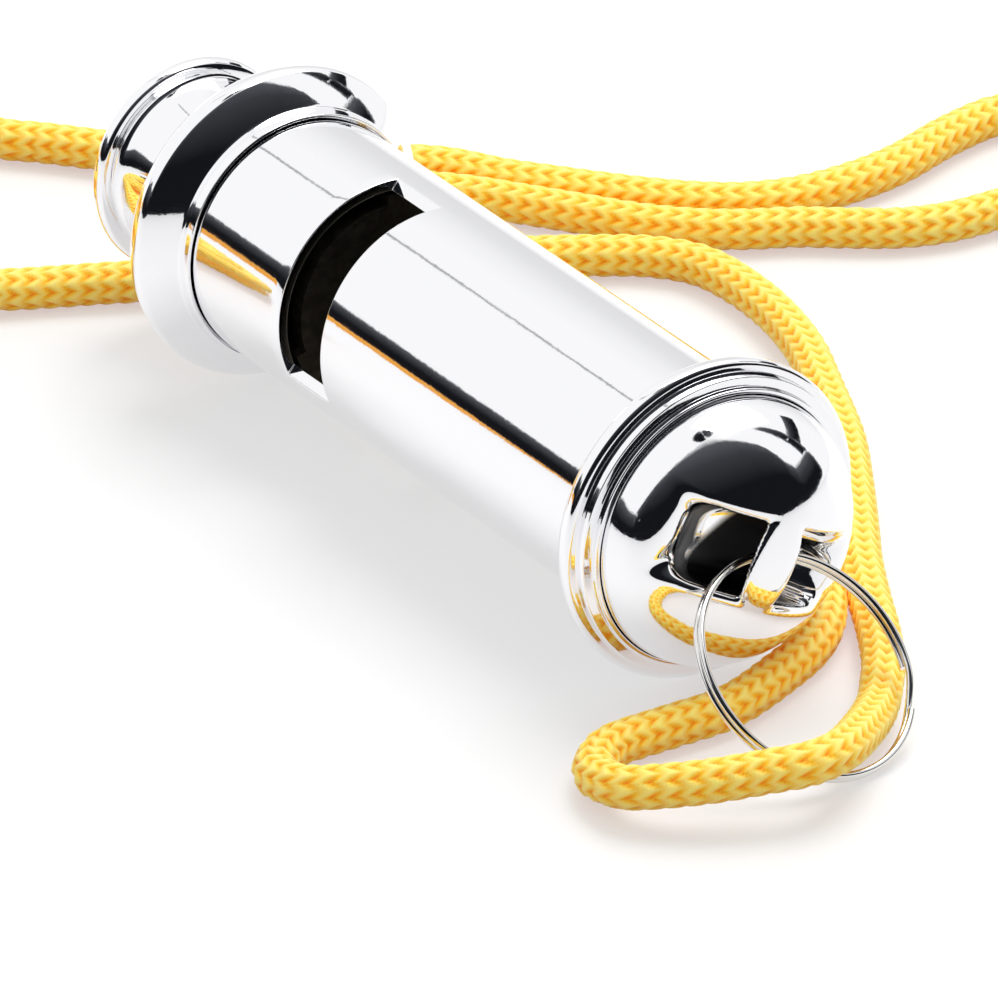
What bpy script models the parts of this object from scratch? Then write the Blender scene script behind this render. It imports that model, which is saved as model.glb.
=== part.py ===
"""A two-tone tubular whistle with a split ring and a cord lanyard, lying on a table at z = 0.

Lengths are in metres. The whistle is built along its own axis: local X points out of the left window,
local Y is across it and local Z runs from the barrel's rear end towards the cap. The empty "whistle frame"
lays it down along +X, rolled about its length as it came to rest.
"""

import math

import bmesh
import bpy
from mathutils import Matrix, Vector

# Clearances
FIT_GAP = 0.0003
FLOOR_GAP = 0.00005

# Barrel and its two windows
BARREL_DIAMETER = 0.0180
BARREL_WALL = 0.0008
BARREL_LENGTH = 0.0554
ROLL = math.radians(35)
WINDOW_START = 0.0151
WINDOW_LENGTH = 0.0054
WINDOW_DEPTH = 0.0045

# The collar and the cap's flange stand out equally far, so the whistle lies level on the two
RIM_RISE = 0.0026
COLLAR_BEAD_RADIUS = 0.0025
COLLAR_OVERLAP = 0.0031

# Mouthpiece
MOUTHPIECE_REACH = 0.0096
MOUTHPIECE_WAIST_DIAMETER = 0.0124
MOUTHPIECE_WAIST_PLACE = 0.0031
LIP_DIAMETER = 0.0160
LIP_RADIUS = 0.0013
LIP_START_DEG = 50
BLOW_HOLE_DIAMETER = 0.0104
BLOW_HOLE_CHAMFER = 0.0003
BLOW_HOLE_STRAIGHT = 0.0085
SPIGOT_LENGTH = 0.0020
SPIGOT_WALL = 0.0008

# Inside the barrel
DIVIDER_THICKNESS = 0.0010
WINDWAY_DEPTH = 0.0008
WINDWAY_SPREAD = math.radians(110)
STOP_THICKNESS = 0.0015
STOP_SETBACK_LEFT = 0.0010
STOP_SETBACK_RIGHT = 0.0050

# Cap: the rolled flange and the dome with the ring's tunnel
FLANGE_OVERLAP = 0.0028
FLANGE_REACH = 0.0012
FLANGE_BEAD_RADIUS = 0.0014
FLANGE_BEAD_SETBACK = 0.0019
FLANGE_BEAD_START_DEG = 75
FLANGE_LIP_WALL = 0.0004
FLANGE_SLEEVE_WALL = 0.0005
DOME_OVERHANG = 0.00045
DOME_PLATE = 0.0007
DOME_HEIGHT = 0.0070
DOME_SPIGOT_LENGTH = 0.0027
TUNNEL_WIDTH = 0.0064
TUNNEL_TURN = math.radians(10)
TUNNEL_CURVE_RADIUS = 0.0091
TUNNEL_BASE = 0.0012
TUNNEL_CLEAR_HEIGHT = 0.0046
BRIDGE_RADIUS = 0.0020

# Split ring: two turns of wire, as it droops from the tunnel on to the table
RING_RADIUS = 0.0082
RING_WIRE = 0.0005
RING_TURN_STEP = 0.00062
RING_SEAT_DEPTH = 0.0008
RING_SIDE_SHIFT = 0.0028
RING_RISE = 0.0009
RING_SKEW = math.radians(17)
RING_END_ANGLE = math.radians(90)
RING_STEP_HALF_ANGLE = math.radians(12)
RING_POINTS_PER_TURN = 44
LEAST_DROOP = math.radians(10)
MOST_DROOP = math.radians(80)

# Cord, a knitted round cord in one closed loop, joined by a crimped ferrule behind the barrel
CORD_DIAMETER = 0.0031
CORD_POINT_SPACING = 1.9
CRIMP_LENGTH = 0.0090
CRIMP_DIAMETER = 0.0044
CRIMP_EDGE = 0.0006
CRIMP_PLACE = (-0.0010, 0.0134)
COIL_CENTRE = (-0.0700, -0.0270)
COIL_OUTER_RADIUS = 0.0210
COIL_START = math.radians(135)
COIL_TURNS = 4.61
COIL_GAP = 0.00045
COIL_POINTS_PER_TURN = 24
TIE_ANGLE = math.radians(250)
TIE_WIDTH = 0.0050
TIE_THICKNESS = 0.0005
TIE_CORNER = 0.0015

# The route is chosen by hand. Its points are measured from the spot on the table below the barrel that
# lies this far in front of the barrel's rear end.
ROUTE_DATUM = 0.0280
FLOOR_RUN = CORD_DIAMETER / 2 + FLOOR_GAP
RING_LOOP_ROUTE = [
    (0.0080, 0.0135, 0.0018), (0.0125, 0.0136, FLOOR_RUN), (0.0175, 0.0134, FLOOR_RUN),
    (0.0222, 0.0126, FLOOR_RUN), (0.0270, 0.0097, FLOOR_RUN), (0.0299, 0.0067, FLOOR_RUN),
    (0.0322, 0.0025, FLOOR_RUN), (0.0344, -0.0030, FLOOR_RUN), (0.0347, -0.0080, FLOOR_RUN),
    (0.0348, -0.0115, FLOOR_RUN), (0.0352, -0.0134, FLOOR_RUN), (0.0363, -0.0150, FLOOR_RUN),
    (0.0379, -0.0161, 0.0017), (0.0398, -0.0165, 0.0021), (0.0419, -0.0163, 0.0026),
    (0.0437, -0.0149, 0.0031), (0.0457, -0.0120, 0.0036), (0.0472, -0.0084, 0.0040),
    (0.0480, -0.0058, 0.0042), (0.0469, -0.0026, 0.0038), (0.0434, 0.0016, 0.0027),
    (0.0398, 0.0052, 0.0017), (0.0370, 0.0075, FLOOR_RUN), (0.0343, 0.0095, FLOOR_RUN),
    (0.0303, 0.0118, FLOOR_RUN), (0.0264, 0.0138, FLOOR_RUN), (0.0216, 0.0164, FLOOR_RUN),
    (0.0174, 0.0190, FLOOR_RUN),
]
BACK_ROUTE = [
    (0.0174, 0.0190, FLOOR_RUN), (0.0110, 0.0229, FLOOR_RUN), (0.0050, 0.0263, FLOOR_RUN),
    (-0.0025, 0.0296, FLOOR_RUN), (-0.0078, 0.0318, FLOOR_RUN), (-0.0135, 0.0332, FLOOR_RUN),
    (-0.0189, 0.0336, FLOOR_RUN), (-0.0231, 0.0330, FLOOR_RUN), (-0.0261, 0.0308, FLOOR_RUN),
    (-0.0281, 0.0279, FLOOR_RUN), (-0.0298, 0.0250, FLOOR_RUN), (-0.0320, 0.0205, FLOOR_RUN),
    (-0.0345, 0.0140, FLOOR_RUN), (-0.0378, 0.0065, FLOOR_RUN), (-0.0405, 0.0005, FLOOR_RUN),
    (-0.0430, -0.0049, FLOOR_RUN), (-0.0444, -0.0083, FLOOR_RUN), (-0.0459, -0.0122, 0.0018),
    (-0.0473, -0.0170, 0.0030),
]
SIDE_ROUTE = [
    (-0.0742, -0.0031, FLOOR_RUN), (-0.0674, 0.0016, FLOOR_RUN),
    (-0.0654, 0.0036, FLOOR_RUN), (-0.0623, 0.0064, FLOOR_RUN), (-0.0570, 0.0110, FLOOR_RUN),
    (-0.0522, 0.0170, FLOOR_RUN), (-0.0497, 0.0220, FLOOR_RUN), (-0.0466, 0.0262, FLOOR_RUN),
    (-0.0426, 0.0289, FLOOR_RUN), (-0.0397, 0.0313, FLOOR_RUN), (-0.0369, 0.0337, FLOOR_RUN),
    (-0.0344, 0.0360, FLOOR_RUN), (-0.0320, 0.0386, FLOOR_RUN), (-0.0300, 0.0416, FLOOR_RUN),
    (-0.0288, 0.0455, FLOOR_RUN), (-0.0287, 0.0499, FLOOR_RUN), (-0.0295, 0.0548, FLOOR_RUN),
    (-0.0316, 0.0608, FLOOR_RUN), (-0.0325, 0.0660, FLOOR_RUN), (-0.0304, 0.0692, FLOOR_RUN),
    (-0.0269, 0.0707, FLOOR_RUN), (-0.0232, 0.0699, FLOOR_RUN), (-0.0207, 0.0671, FLOOR_RUN),
    (-0.0199, 0.0632, FLOOR_RUN), (-0.0194, 0.0568, FLOOR_RUN),
    (-0.0195, 0.0524, FLOOR_RUN), (-0.0206, 0.0487, FLOOR_RUN), (-0.0225, 0.0456, FLOOR_RUN),
    (-0.0246, 0.0425, FLOOR_RUN), (-0.0261, 0.0394, FLOOR_RUN), (-0.0281, 0.0363, FLOOR_RUN),
    (-0.0311, 0.0332, FLOOR_RUN), (-0.0348, 0.0304, FLOOR_RUN), (-0.0385, 0.0276, FLOOR_RUN),
    (-0.0418, 0.0250, FLOOR_RUN), (-0.0444, 0.0220, FLOOR_RUN), (-0.0454, 0.0185, 0.0018),
    (-0.0443, 0.0150, 0.0026), (-0.0405, 0.0126, 0.0042), (-0.0355, 0.0121, 0.0056),
    (-0.0310, 0.0124, 0.0045), (-0.0265, 0.0130, 0.0027), (-0.0215, 0.0134, 0.0018),
    (-0.0160, 0.0135, FLOOR_RUN), (-0.0110, 0.0134, 0.0018),
]

# Fineness of the shapes
TURN_STEPS = 48
SCOOP_STEPS = 64
BRIDGE_STEPS = 24
BEAD_STEPS = 12
LIP_STEPS = 8
COVE_STEPS = 6
FLARE_STEPS = 5
DOME_STEPS = 9
HALF_DISC_STEPS = 18
CORNER_STEPS = 4
ROUTE_STEPS = 12
WELD_DISTANCE = 0.000001
SMOOTH_BELOW = math.radians(30)

# Sizes that follow
barrel_radius = BARREL_DIAMETER / 2
bore_radius = barrel_radius - BARREL_WALL
inner_radius = bore_radius - FIT_GAP
sleeve_bore = barrel_radius + FIT_GAP
rim_radius = barrel_radius + RIM_RISE
collar_rear = COLLAR_OVERLAP - 2 * COLLAR_BEAD_RADIUS
mouth_end = collar_rear - MOUTHPIECE_REACH
inner_start = SPIGOT_LENGTH + FIT_GAP
divider_face = DIVIDER_THICKNESS / 2 + FIT_GAP
dome_radius = barrel_radius + DOME_OVERHANG
dome_seat = BARREL_LENGTH + FIT_GAP
dome_base = dome_seat + DOME_PLATE
dome_spigot_end = dome_seat - DOME_SPIGOT_LENGTH
tunnel_floor = dome_base + TUNNEL_BASE
bridge_underside = tunnel_floor + TUNNEL_CLEAR_HEIGHT
flange_back = BARREL_LENGTH - FLANGE_OVERLAP
flange_front = BARREL_LENGTH + FLANGE_REACH
ring_seat = bridge_underside - RING_SEAT_DEPTH
axis_height = rim_radius


def start_scene():
    for obj in list(bpy.data.objects):
        bpy.data.objects.remove(obj)
    for collection_name in ("whistle", "cutters"):
        bpy.context.scene.collection.children.link(bpy.data.collections.new(collection_name))


def material(name, colour, roughness, metallic):
    made = bpy.data.materials.new(name)
    made.use_nodes = True
    shader = made.node_tree.nodes["Principled BSDF"]
    shader.inputs["Base Color"].default_value = (*colour, 1)
    shader.inputs["Roughness"].default_value = roughness
    shader.inputs["Metallic"].default_value = metallic
    return made


def add_object(name, data, finish=None, parent=None, collection="whistle"):
    obj = bpy.data.objects.new(name, data)
    bpy.data.collections[collection].objects.link(obj)
    obj.parent = parent
    if finish:
        data.materials.append(finish)
    return obj


def add_cutter(obj):
    obj.hide_render = True
    obj.display_type = "WIRE"
    return obj


def arc(centre, radius, start_deg, end_deg, segments):
    """Points (radius, height) on an arc; 0 degrees points outwards and 90 degrees towards the cap."""
    points = []
    for i in range(segments + 1):
        angle = math.radians(start_deg + (end_deg - start_deg) * i / segments)
        points.append((centre[0] + radius * math.cos(angle), centre[1] + radius * math.sin(angle)))
    return points


def turned(name, profile, finish, parent):
    """A turned piece about local Z. The profile runs down the outside, then back up any bore."""
    bored = profile[0][0] > 0
    count = len(profile)
    edges = [(i, (i + 1) % count) for i in range(count if bored else count - 1)]
    mesh = bpy.data.meshes.new(name)
    mesh.from_pydata([(radius, 0, height) for radius, height in profile], edges, [])
    obj = add_object(name, mesh, finish, parent)
    screw = obj.modifiers.new("turn", "SCREW")
    screw.steps = screw.render_steps = TURN_STEPS
    screw.use_merge_vertices = True
    screw.merge_threshold = 0.00001
    return obj


def cut(obj, cutter):
    boolean = obj.modifiers.new("cut " + cutter.name, "BOOLEAN")
    boolean.operation = "DIFFERENCE"
    boolean.solver = "EXACT"
    boolean.object = cutter


def settle(obj):
    """Turns the modifiers' result into the object's own mesh, smooth with sharp edges kept."""
    evaluated = obj.evaluated_get(bpy.context.evaluated_depsgraph_get())
    obj.data = bpy.data.meshes.new_from_object(evaluated)
    obj.modifiers.clear()
    obj.data.shade_smooth()
    obj.data.set_sharp_from_angle(angle=SMOOTH_BELOW)
    return obj


def plate(name, outlines, thickness, finish=None, parent=None, collection="whistle"):
    """A flat piece: closed outlines in local XY, extruded evenly to both sides of that plane."""
    curve = bpy.data.curves.new(name, "CURVE")
    curve.dimensions = "2D"
    curve.fill_mode = "BOTH"
    curve.extrude = thickness / 2
    for outline in outlines:
        spline = curve.splines.new("POLY")
        spline.points.add(len(outline) - 1)
        for point, (x, y) in zip(spline.points, outline):
            point.co = (x, y, 0, 1)
        spline.use_cyclic_u = True
    return add_object(name, curve, finish, parent, collection)


def tube(name, points, diameter, resolution, finish, parent=None):
    curve = bpy.data.curves.new(name, "CURVE")
    curve.dimensions = "3D"
    curve.bevel_depth = diameter / 2
    curve.bevel_resolution = resolution
    curve.use_fill_caps = True
    spline = curve.splines.new("POLY")
    spline.points.add(len(points) - 1)
    for point, place in zip(spline.points, points):
        point.co = (*place, 1)
    return add_object(name, curve, finish, parent)


def make_barrel(finish, whistle):
    barrel = turned("barrel_tube", [
        (barrel_radius, BARREL_LENGTH), (barrel_radius, 0), (bore_radius, 0), (bore_radius, BARREL_LENGTH),
    ], finish, whistle)
    reach = 2 * BARREL_DIAMETER
    flat = barrel_radius - WINDOW_DEPTH
    for side in (-1, 1):
        box = [(flat, -reach / 2), (reach, -reach / 2), (reach, reach / 2), (flat, reach / 2)]
        outline = plate("window outline", [[(side * x, y) for x, y in box]], WINDOW_LENGTH)
        outline.parent = whistle
        outline.location.z = WINDOW_START + WINDOW_LENGTH / 2
        cut(barrel, mesh_cutter(outline, "window cutter"))
    return settle(barrel)


def mesh_cutter(curve_object, name):
    """A closed mesh from a curve object, in its place, for use as a cutter. The curve is removed."""
    bpy.context.view_layer.update()
    evaluated = curve_object.evaluated_get(bpy.context.evaluated_depsgraph_get())
    mesh = bpy.data.meshes.new_from_object(evaluated)
    welded = bmesh.new()
    welded.from_mesh(mesh)
    bmesh.ops.remove_doubles(welded, verts=welded.verts, dist=WELD_DISTANCE)
    bmesh.ops.recalc_face_normals(welded, faces=welded.faces)
    welded.to_mesh(mesh)
    welded.free()
    cutter = add_cutter(add_object(name, mesh, collection="cutters"))
    cutter.matrix_world = curve_object.matrix_world
    bpy.data.objects.remove(curve_object)
    bpy.context.view_layer.update()
    return cutter


def make_collar(finish, whistle):
    centre = (rim_radius - COLLAR_BEAD_RADIUS, COLLAR_OVERLAP - COLLAR_BEAD_RADIUS)
    open_angle = math.degrees(math.acos((sleeve_bore - centre[0]) / COLLAR_BEAD_RADIUS))
    bead = arc(centre, COLLAR_BEAD_RADIUS, open_angle, -open_angle, BEAD_STEPS)
    return settle(turned("collar_ring", bead, finish, whistle))


def make_mouthpiece(finish, whistle):
    waist_radius = MOUTHPIECE_WAIST_DIAMETER / 2
    waist = collar_rear - MOUTHPIECE_WAIST_PLACE
    hole_radius = BLOW_HOLE_DIAMETER / 2
    cove = []
    for i in range(COVE_STEPS + 1):
        turn = math.pi / 2 * (1 - i / COVE_STEPS)
        cove.append((barrel_radius - (barrel_radius - waist_radius) * math.cos(turn),
                     waist + MOUTHPIECE_WAIST_PLACE * math.sin(turn)))
    lip_centre = (LIP_DIAMETER / 2 - LIP_RADIUS, mouth_end + LIP_RADIUS)
    lip = arc(lip_centre, LIP_RADIUS, LIP_START_DEG, -90, LIP_STEPS)
    flare = []
    for i in range(1, FLARE_STEPS):
        turn = math.pi / 2 * i / FLARE_STEPS
        flare.append((waist_radius + (lip[0][0] - waist_radius) * (1 - math.cos(turn)),
                      waist - (waist - lip[0][1]) * math.sin(turn)))
    profile = [(inner_radius, SPIGOT_LENGTH), (inner_radius, -FIT_GAP), (barrel_radius, -FIT_GAP)]
    profile += cove + flare + lip
    profile += [
        (hole_radius + BLOW_HOLE_CHAMFER, mouth_end),
        (hole_radius, mouth_end + BLOW_HOLE_CHAMFER),
        (hole_radius, mouth_end + BLOW_HOLE_STRAIGHT),
        (inner_radius - SPIGOT_WALL, SPIGOT_LENGTH),
    ]
    return settle(turned("mouthpiece", profile, finish, whistle))


def half_disc(side, recess=0.0, spread=0.0):
    """A half disc beside the divider plate. Its round edge may have a shallow recess in the middle."""
    edge_angle = math.acos(divider_face / inner_radius)
    angles = [edge_angle * (2 * i / HALF_DISC_STEPS - 1) for i in range(HALF_DISC_STEPS + 1)]
    if recess:
        room = edge_angle / HALF_DISC_STEPS / 4
        inside = [angle for angle in angles if abs(angle) < spread / 2 - room]
        outside = [angle for angle in angles if abs(angle) > spread / 2 + room]
        polar = [(inner_radius, angle) for angle in outside if angle < 0]
        polar += [(inner_radius, -spread / 2), (inner_radius - recess, -spread / 2)]
        polar += [(inner_radius - recess, angle) for angle in inside]
        polar += [(inner_radius - recess, spread / 2), (inner_radius, spread / 2)]
        polar += [(inner_radius, angle) for angle in outside if angle > 0]
    else:
        polar = [(inner_radius, angle) for angle in angles]
    return [(side * radius * math.cos(angle), radius * math.sin(angle)) for radius, angle in polar]


def make_inner_pieces(finish, whistle):
    length = dome_spigot_end - FIT_GAP - inner_start
    half_width = inner_radius * math.cos(math.asin(DIVIDER_THICKNESS / 2 / inner_radius))
    half_thick = DIVIDER_THICKNESS / 2
    outline = [(-half_thick, -half_width), (half_thick, -half_width),
               (half_thick, half_width), (-half_thick, half_width)]
    divider = plate("divider_plate", [outline], length, finish, whistle)
    divider.location.z = inner_start + length / 2
    block_length = WINDOW_START - inner_start
    for name, side, setback in (("left", 1, STOP_SETBACK_LEFT), ("right", -1, STOP_SETBACK_RIGHT)):
        outline = half_disc(side, WINDWAY_DEPTH, WINDWAY_SPREAD)
        block = plate("windway_block_" + name, [outline], block_length, finish, whistle)
        block.location.z = inner_start + block_length / 2
        stop = plate("chamber_stop_" + name, [half_disc(side)], STOP_THICKNESS, finish, whistle)
        stop.location.z = dome_spigot_end - setback - STOP_THICKNESS / 2


def make_flange(finish, whistle):
    lip_inner = dome_radius + FIT_GAP
    lip_outer = lip_inner + FLANGE_LIP_WALL
    edge = FLANGE_LIP_WALL / 3
    bead_centre = (rim_radius - FLANGE_BEAD_RADIUS, flange_front - FLANGE_BEAD_SETBACK)
    profile = [
        (lip_inner, flange_front - edge),
        (lip_inner + edge, flange_front),
        (lip_outer - edge, flange_front),
        (lip_outer, flange_front - edge),
        (lip_outer, bead_centre[1] + FLANGE_BEAD_RADIUS),
    ]
    profile += arc(bead_centre, FLANGE_BEAD_RADIUS, FLANGE_BEAD_START_DEG, -90, BEAD_STEPS)
    profile += [
        (sleeve_bore + FLANGE_SLEEVE_WALL, (flange_back + bead_centre[1] - FLANGE_BEAD_RADIUS) / 2),
        (sleeve_bore + FLANGE_SLEEVE_WALL, flange_back),
        (sleeve_bore, flange_back),
        (sleeve_bore, BARREL_LENGTH),
        (lip_inner, BARREL_LENGTH),
    ]
    return settle(turned("cap_flange_ring", profile, finish, whistle))


def make_dome(finish, whistle):
    profile = [(0, dome_base + DOME_HEIGHT)]
    for i in range(1, DOME_STEPS + 1):
        turn = math.pi / 2 * (1 - i / DOME_STEPS)
        profile.append((dome_radius * math.cos(turn), dome_base + DOME_HEIGHT * math.sin(turn)))
    profile += [(dome_radius, dome_seat), (inner_radius, dome_seat)]
    profile += [(inner_radius, dome_spigot_end), (0, dome_spigot_end)]
    dome = turned("cap_dome", profile, finish, whistle)

    def round_bar(name, radius, height, centre_height, steps):
        outline = [(radius * math.cos(math.tau * i / steps), radius * math.sin(math.tau * i / steps))
                   for i in range(steps)]
        bar = plate(name, [outline], height)
        bar.parent = whistle
        bar.location.z = centre_height
        bar.rotation_euler = (math.radians(90), 0, TUNNEL_TURN)
        return mesh_cutter(bar, name)

    scoop_height = tunnel_floor + TUNNEL_CURVE_RADIUS
    scoop = round_bar("tunnel cutter", TUNNEL_CURVE_RADIUS, TUNNEL_WIDTH, scoop_height, SCOOP_STEPS)
    bridge_height = bridge_underside + BRIDGE_RADIUS
    bridge = round_bar("bridge bar", BRIDGE_RADIUS, 2 * TUNNEL_WIDTH, bridge_height, BRIDGE_STEPS)
    cut(scoop, bridge)
    cut(dome, scoop)
    return settle(dome)


def ring_frame(droop):
    """The ring's centre and its directions away from the tunnel, along the tunnel and square to the ring."""
    away = Vector((0, -math.sin(droop), math.cos(droop)))
    along = math.cos(RING_SKEW) * Vector((1, 0, 0)) + math.sin(RING_SKEW) * away.cross(Vector((1, 0, 0)))
    centre = Vector((RING_SIDE_SHIFT, RING_RISE, ring_seat)) + RING_RADIUS * away
    return centre, away, along, away.cross(along)


def ring_points(droop):
    """The wire's centreline: a lower turn, a short step over, and an upper turn."""
    centre, away, along, normal = ring_frame(droop)
    first = RING_END_ANGLE + RING_STEP_HALF_ANGLE
    sweep = 4 * math.pi - 2 * RING_STEP_HALF_ANGLE
    count = round(sweep / math.tau * RING_POINTS_PER_TURN)
    points = []
    for i in range(count + 1):
        angle = first + sweep * i / count
        step = (angle - RING_END_ANGLE - math.tau + RING_STEP_HALF_ANGLE) / (2 * RING_STEP_HALF_ANGLE)
        step = min(1, max(0, step))
        side = RING_TURN_STEP * (step * step * (3 - 2 * step) - 0.5)
        spoke = math.cos(angle) * away + math.sin(angle) * along
        points.append(centre + RING_RADIUS * spoke + side * normal)
    return points


def height_on_table(point):
    return axis_height - point.x * math.sin(ROLL) + point.y * math.cos(ROLL)


def ring_droop():
    """The angle below straight out at which the ring's lowest wire just reaches the table."""
    low, high = LEAST_DROOP, MOST_DROOP
    for _ in range(40):
        middle = (low + high) / 2
        lowest = min(height_on_table(point) for point in ring_points(middle)) - RING_WIRE / 2
        if lowest > 2 * FLOOR_GAP:
            low = middle
        else:
            high = middle
    return low


def make_ring(finish, whistle, droop):
    centre, away, along, _ = ring_frame(droop)
    pivot_angle = math.pi + math.asin(RING_SIDE_SHIFT / (RING_RADIUS * along.x))
    pivot = centre + RING_RADIUS * (math.cos(pivot_angle) * away + math.sin(pivot_angle) * along)
    axis = -math.sin(pivot_angle) * away + math.cos(pivot_angle) * along
    ring = tube("split_ring", [point - pivot for point in ring_points(droop)], RING_WIRE, 2, finish, whistle)
    ring.location = pivot
    return pivot, axis


def smooth_route(corners, spacing):
    """Points at even steps on a Catmull-Rom curve through the route's own points."""
    corners = [Vector(corner) for corner in corners]
    padded = [2 * corners[0] - corners[1]] + corners + [2 * corners[-1] - corners[-2]]
    fine = []
    for before, start, end, after in zip(padded, padded[1:], padded[2:], padded[3:]):
        square = 2 * before - 5 * start + 4 * end - after
        cube = 3 * start - before - 3 * end + after
        for i in range(ROUTE_STEPS):
            t = i / ROUTE_STEPS
            fine.append(start + 0.5 * ((end - before) * t + square * t ** 2 + cube * t ** 3))
    fine.append(corners[-1])
    lengths = [0.0]
    for start, end in zip(fine, fine[1:]):
        lengths.append(lengths[-1] + (end - start).length)
    count = max(2, round(lengths[-1] / spacing))
    points = []
    at = 0
    for i in range(count + 1):
        wanted = lengths[-1] * i / count
        while at < len(lengths) - 2 and lengths[at + 1] < wanted:
            at += 1
        share = (wanted - lengths[at]) / max(lengths[at + 1] - lengths[at], 1e-9)
        points.append(fine[at].lerp(fine[at + 1], min(1, share)))
    return points, lengths[-1]


def coil_points():
    """Spirals in on the lower layer, climbs in the half turn where it reverses, and spirals out on top."""
    pitch = CORD_DIAMETER + COIL_GAP
    lift = TIE_THICKNESS + FIT_GAP
    points = []
    count = round(COIL_TURNS * COIL_POINTS_PER_TURN)
    for i in range(count + 1):
        turn = COIL_TURNS * i / count
        angle = COIL_START + math.tau * turn
        radius = COIL_OUTER_RADIUS - pitch * min(turn, COIL_TURNS - turn)
        climb = min(1, max(0, (turn - COIL_TURNS / 2 + 0.25) / 0.5))
        height = FLOOR_RUN + pitch * climb * climb * (3 - 2 * climb)
        height += lift * (0.5 + 0.5 * math.cos(angle - TIE_ANGLE))
        points.append(Vector((COIL_CENTRE[0] + radius * math.cos(angle),
                              COIL_CENTRE[1] + radius * math.sin(angle), height)))
    for end, beyond in ((0, 1), (-1, -2)):
        run = points[end] - points[beyond]
        run.z = 0
        straight = points[end] + run.normalized() * CORD_DIAMETER
        points.insert(0 if end == 0 else len(points), straight)
    return points


def least_gap(points, diameter):
    """The least gap of a tube to itself, between points that lie over four diameters apart along it."""
    step = (points[2] - points[1]).length
    skip = math.ceil(4 * diameter / step)
    least = math.inf
    for i, point in enumerate(points):
        for other in points[i + skip:]:
            least = min(least, (other - point).length)
    return least - diameter


def make_tie(points, finish, datum):
    """A flat strap round the coil: a rounded loop across the turns, as wide as the strap along them."""
    radial = Vector((math.cos(TIE_ANGLE), math.sin(TIE_ANGLE), 0))
    middle = Vector((*COIL_CENTRE, 0))
    held = [point - middle for point in points
            if abs((point - middle).cross(radial).z) < TIE_WIDTH and (point - middle).dot(radial) > 0]
    slack = CORD_DIAMETER / 2 + FIT_GAP
    near = min(point.dot(radial) for point in held) - slack
    far = max(point.length for point in held) + slack
    low = TIE_THICKNESS + FLOOR_GAP
    high = max(point.z for point in held) + slack

    def rounded(grow, corner):
        outline = []
        for index, (x, y) in enumerate(((far, high), (near, high), (near, low), (far, low))):
            across = x - corner + grow if x == far else x + corner - grow
            up = y - corner + grow if y == high else y + corner - grow
            for i in range(CORNER_STEPS + 1):
                angle = math.pi / 2 * (index + i / CORNER_STEPS)
                outline.append((across + corner * math.cos(angle), up + corner * math.sin(angle)))
        return outline

    outlines = [rounded(TIE_THICKNESS, TIE_CORNER + TIE_THICKNESS), rounded(0, TIE_CORNER)]
    tie = plate("coil_tie", outlines, TIE_WIDTH, finish)
    up = Vector((0, 0, 1))
    turn = Matrix((radial, up, radial.cross(up))).transposed().to_4x4()
    tie.matrix_world = Matrix.Translation(datum + middle) @ turn


def make_crimp(finish, datum):
    radius = CRIMP_DIAMETER / 2
    half = CRIMP_LENGTH / 2
    profile = [(0, half)] + arc((radius - CRIMP_EDGE, half - CRIMP_EDGE), CRIMP_EDGE, 90, 0, 3)
    profile += arc((radius - CRIMP_EDGE, CRIMP_EDGE - half), CRIMP_EDGE, 0, -90, 3) + [(0, -half)]
    crimp = turned("cord_crimp", profile, finish, None)
    crimp.matrix_world = (Matrix.Translation(datum + Vector((*CRIMP_PLACE, radius + FLOOR_GAP)))
                          @ Matrix.Rotation(math.radians(90), 4, "Y"))
    settle(crimp)
    return datum + Vector((*CRIMP_PLACE, radius + FLOOR_GAP))


def make_cord(finish, metal, strap, datum):
    crimp = make_crimp(metal, datum) - datum
    clear = Vector((CRIMP_LENGTH / 2 + FIT_GAP, 0, 0))
    coil = coil_points()
    into_coil = (coil[0] - coil[1]).normalized()
    out_of_coil = (coil[-1] - coil[-2]).normalized()
    coil_in = [coil[0] + into_coil * run for run in (FIT_GAP, FIT_GAP + CORD_DIAMETER)]
    coil_out = [coil[-1] + out_of_coil * run for run in (FIT_GAP + CORD_DIAMETER, FIT_GAP)]
    joint = Vector(RING_LOOP_ROUTE[-1])
    gap = (Vector(BACK_ROUTE[1]) - joint).normalized() * FIT_GAP
    routes = {
        "cord_ring_loop": [crimp + clear] + RING_LOOP_ROUTE,
        "cord_back": [joint + gap] + BACK_ROUTE[1:] + coil_out,
        "cord_side": coil_in + SIDE_ROUTE + [crimp - clear],
    }
    total = CRIMP_LENGTH
    for name, route in routes.items():
        points, length = smooth_route(route, CORD_POINT_SPACING * CORD_DIAMETER)
        tube(name, points, CORD_DIAMETER, 2, finish).location = datum
        total += length
        print(f"{name}: {len(points)} points, {length * 1000:.0f} mm")
    tube("cord_coil", coil, CORD_DIAMETER, 1, finish).location = datum
    coil_length = sum((end - start).length for start, end in zip(coil, coil[1:]))
    print(f"cord_coil: {coil_length * 1000:.0f} mm")
    print(f"the coil's least gap to itself: {least_gap(coil, CORD_DIAMETER) * 1000:.2f} mm")
    print(f"whole cord: {(total + coil_length) * 1000:.0f} mm")
    make_tie(coil, strap, datum)


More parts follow.
